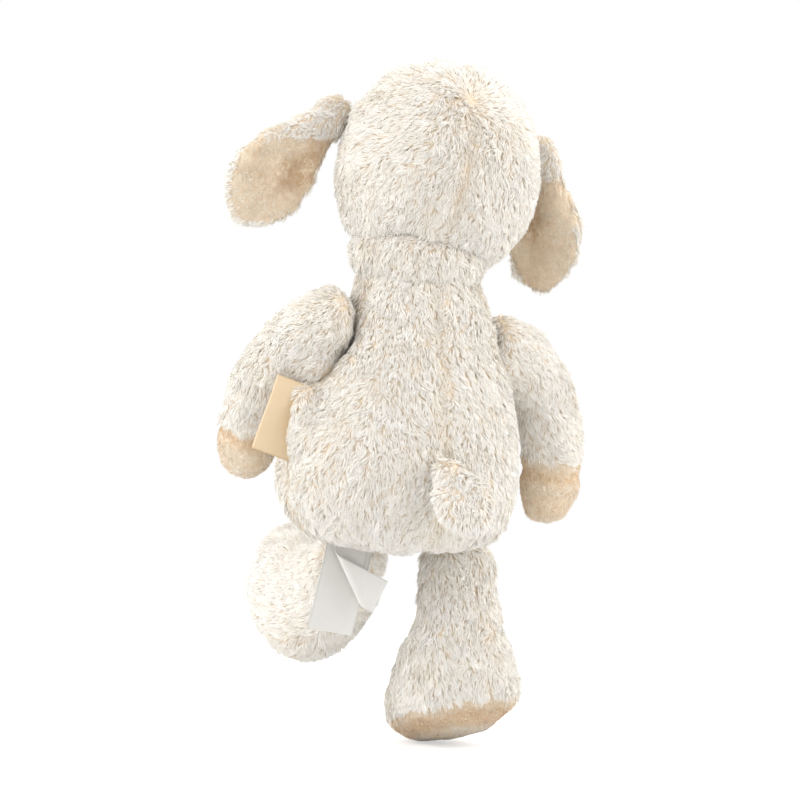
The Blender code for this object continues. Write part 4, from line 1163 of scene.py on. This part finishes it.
# The studio: a sheet of white paper whose far edge fades into a white surround, soft lamps at
# both sides, above and in front of the toy's face, and the camera behind it.
FLOOR_RADIUS = 1.0
FLOOR_CLEAR = 0.42
FLOOR_END = 0.95 * FLOOR_RADIUS
FLOOR_CORNERS = 96
PAPER_GREY = 0.85
PAPER_ROUGHNESS = 0.9
PAPER_GLOW = 0.5
SURROUND_LIGHT = 0.68
bpy.ops.object.select_all(action="DESELECT")
bpy.ops.mesh.primitive_circle_add(
    vertices=FLOOR_CORNERS, radius=FLOOR_RADIUS, fill_type="NGON", location=(0, 0, 0)
)
floor = bpy.context.object
floor.name = "floor"
paper, paper_tree, paper_shader = new_material("floor_paper", specular=0.0)
paper_shader.inputs["Base Color"].default_value = (PAPER_GREY, PAPER_GREY, PAPER_GREY, 1)
paper_shader.inputs["Roughness"].default_value = PAPER_ROUGHNESS
paper_shader.inputs["Emission Color"].default_value = (1, 1, 1, 1)
rays = paper_tree.nodes.new("ShaderNodeLightPath")
glow = mapped(paper_tree, rays.outputs["Is Camera Ray"], 0.0, 1.0, 0.0, PAPER_GLOW)
paper_tree.links.new(glow, paper_shader.inputs["Emission Strength"])
place = paper_tree.nodes.new("ShaderNodeTexCoord")
reach = paper_tree.nodes.new("ShaderNodeVectorMath")
reach.operation = "LENGTH"
paper_tree.links.new(place.outputs["Object"], reach.inputs[0])
faded = mapped(paper_tree, reach.outputs["Value"], FLOOR_CLEAR, FLOOR_END, 1.0, 0.0, True)
paper_tree.links.new(faded, paper_shader.inputs["Alpha"])
floor.data.materials.append(paper)

world = bpy.data.worlds.new("surround")
scene.world = world
world.use_nodes = True
air = world.node_tree
rays = air.nodes.new("ShaderNodeLightPath")
shown = rays.outputs["Is Camera Ray"]
for other in ("Is Glossy Ray", "Is Transmission Ray"):
    larger = air.nodes.new("ShaderNodeMath")
    larger.operation = "MAXIMUM"
    air.links.new(shown, larger.inputs[0])
    air.links.new(rays.outputs[other], larger.inputs[1])
    shown = larger.outputs["Value"]
background = air.nodes["Background"]
background.inputs["Color"].default_value = (1, 1, 1, 1)
light = mapped(air, shown, 0.0, 1.0, SURROUND_LIGHT, 1.0)
air.links.new(light, background.inputs["Strength"])

TARGET = Vector((0, 0, 175.5 * MM))
CAMERA_AZIMUTH = math.radians(163)
CAMERA_HEIGHT = math.radians(2)
CAMERA_DISTANCE = 2.2
FIELD = 0.4


def around(azimuth, height, distance):
    """A point round the toy; azimuth 0 is in front of its face."""
    level = math.cos(height)
    out = Vector((math.sin(azimuth) * level, -math.cos(azimuth) * level, math.sin(height)))
    return TARGET + out * distance


def aim(thing, place):
    """Puts a lamp or the camera at a place and turns it to the toy's middle."""
    thing.location = place
    thing.rotation_euler = (TARGET - place).to_track_quat("-Z", "Y").to_euler()


# Each lamp's name, azimuth and height in degrees, distance and size in metres, and power in watts
LAMPS = (
    ("left_lamp", 238, 22, 1.5, 1.2, 14),
    ("right_lamp", 92, 22, 1.5, 1.2, 15),
    ("back_lamp", 175, 55, 1.6, 1.2, 4),
    ("front_lamp", 345, 30, 1.6, 1.3, 6),
)
for name, azimuth, height, distance, size, power in LAMPS:
    lamp = bpy.data.lights.new(name, "AREA")
    lamp.size = size
    lamp.energy = power
    lamp_object = bpy.data.objects.new(name, lamp)
    scene.collection.objects.link(lamp_object)
    aim(lamp_object, around(math.radians(azimuth), math.radians(height), distance))

camera = bpy.data.cameras.new("camera")
camera.sensor_width = 36
camera.lens = camera.sensor_width * CAMERA_DISTANCE / FIELD
camera_object = bpy.data.objects.new("camera", camera)
scene.collection.objects.link(camera_object)
aim(camera_object, around(CAMERA_AZIMUTH, CAMERA_HEIGHT, CAMERA_DISTANCE))
scene.camera = camera_object
scene.view_settings.view_transform = "Standard"
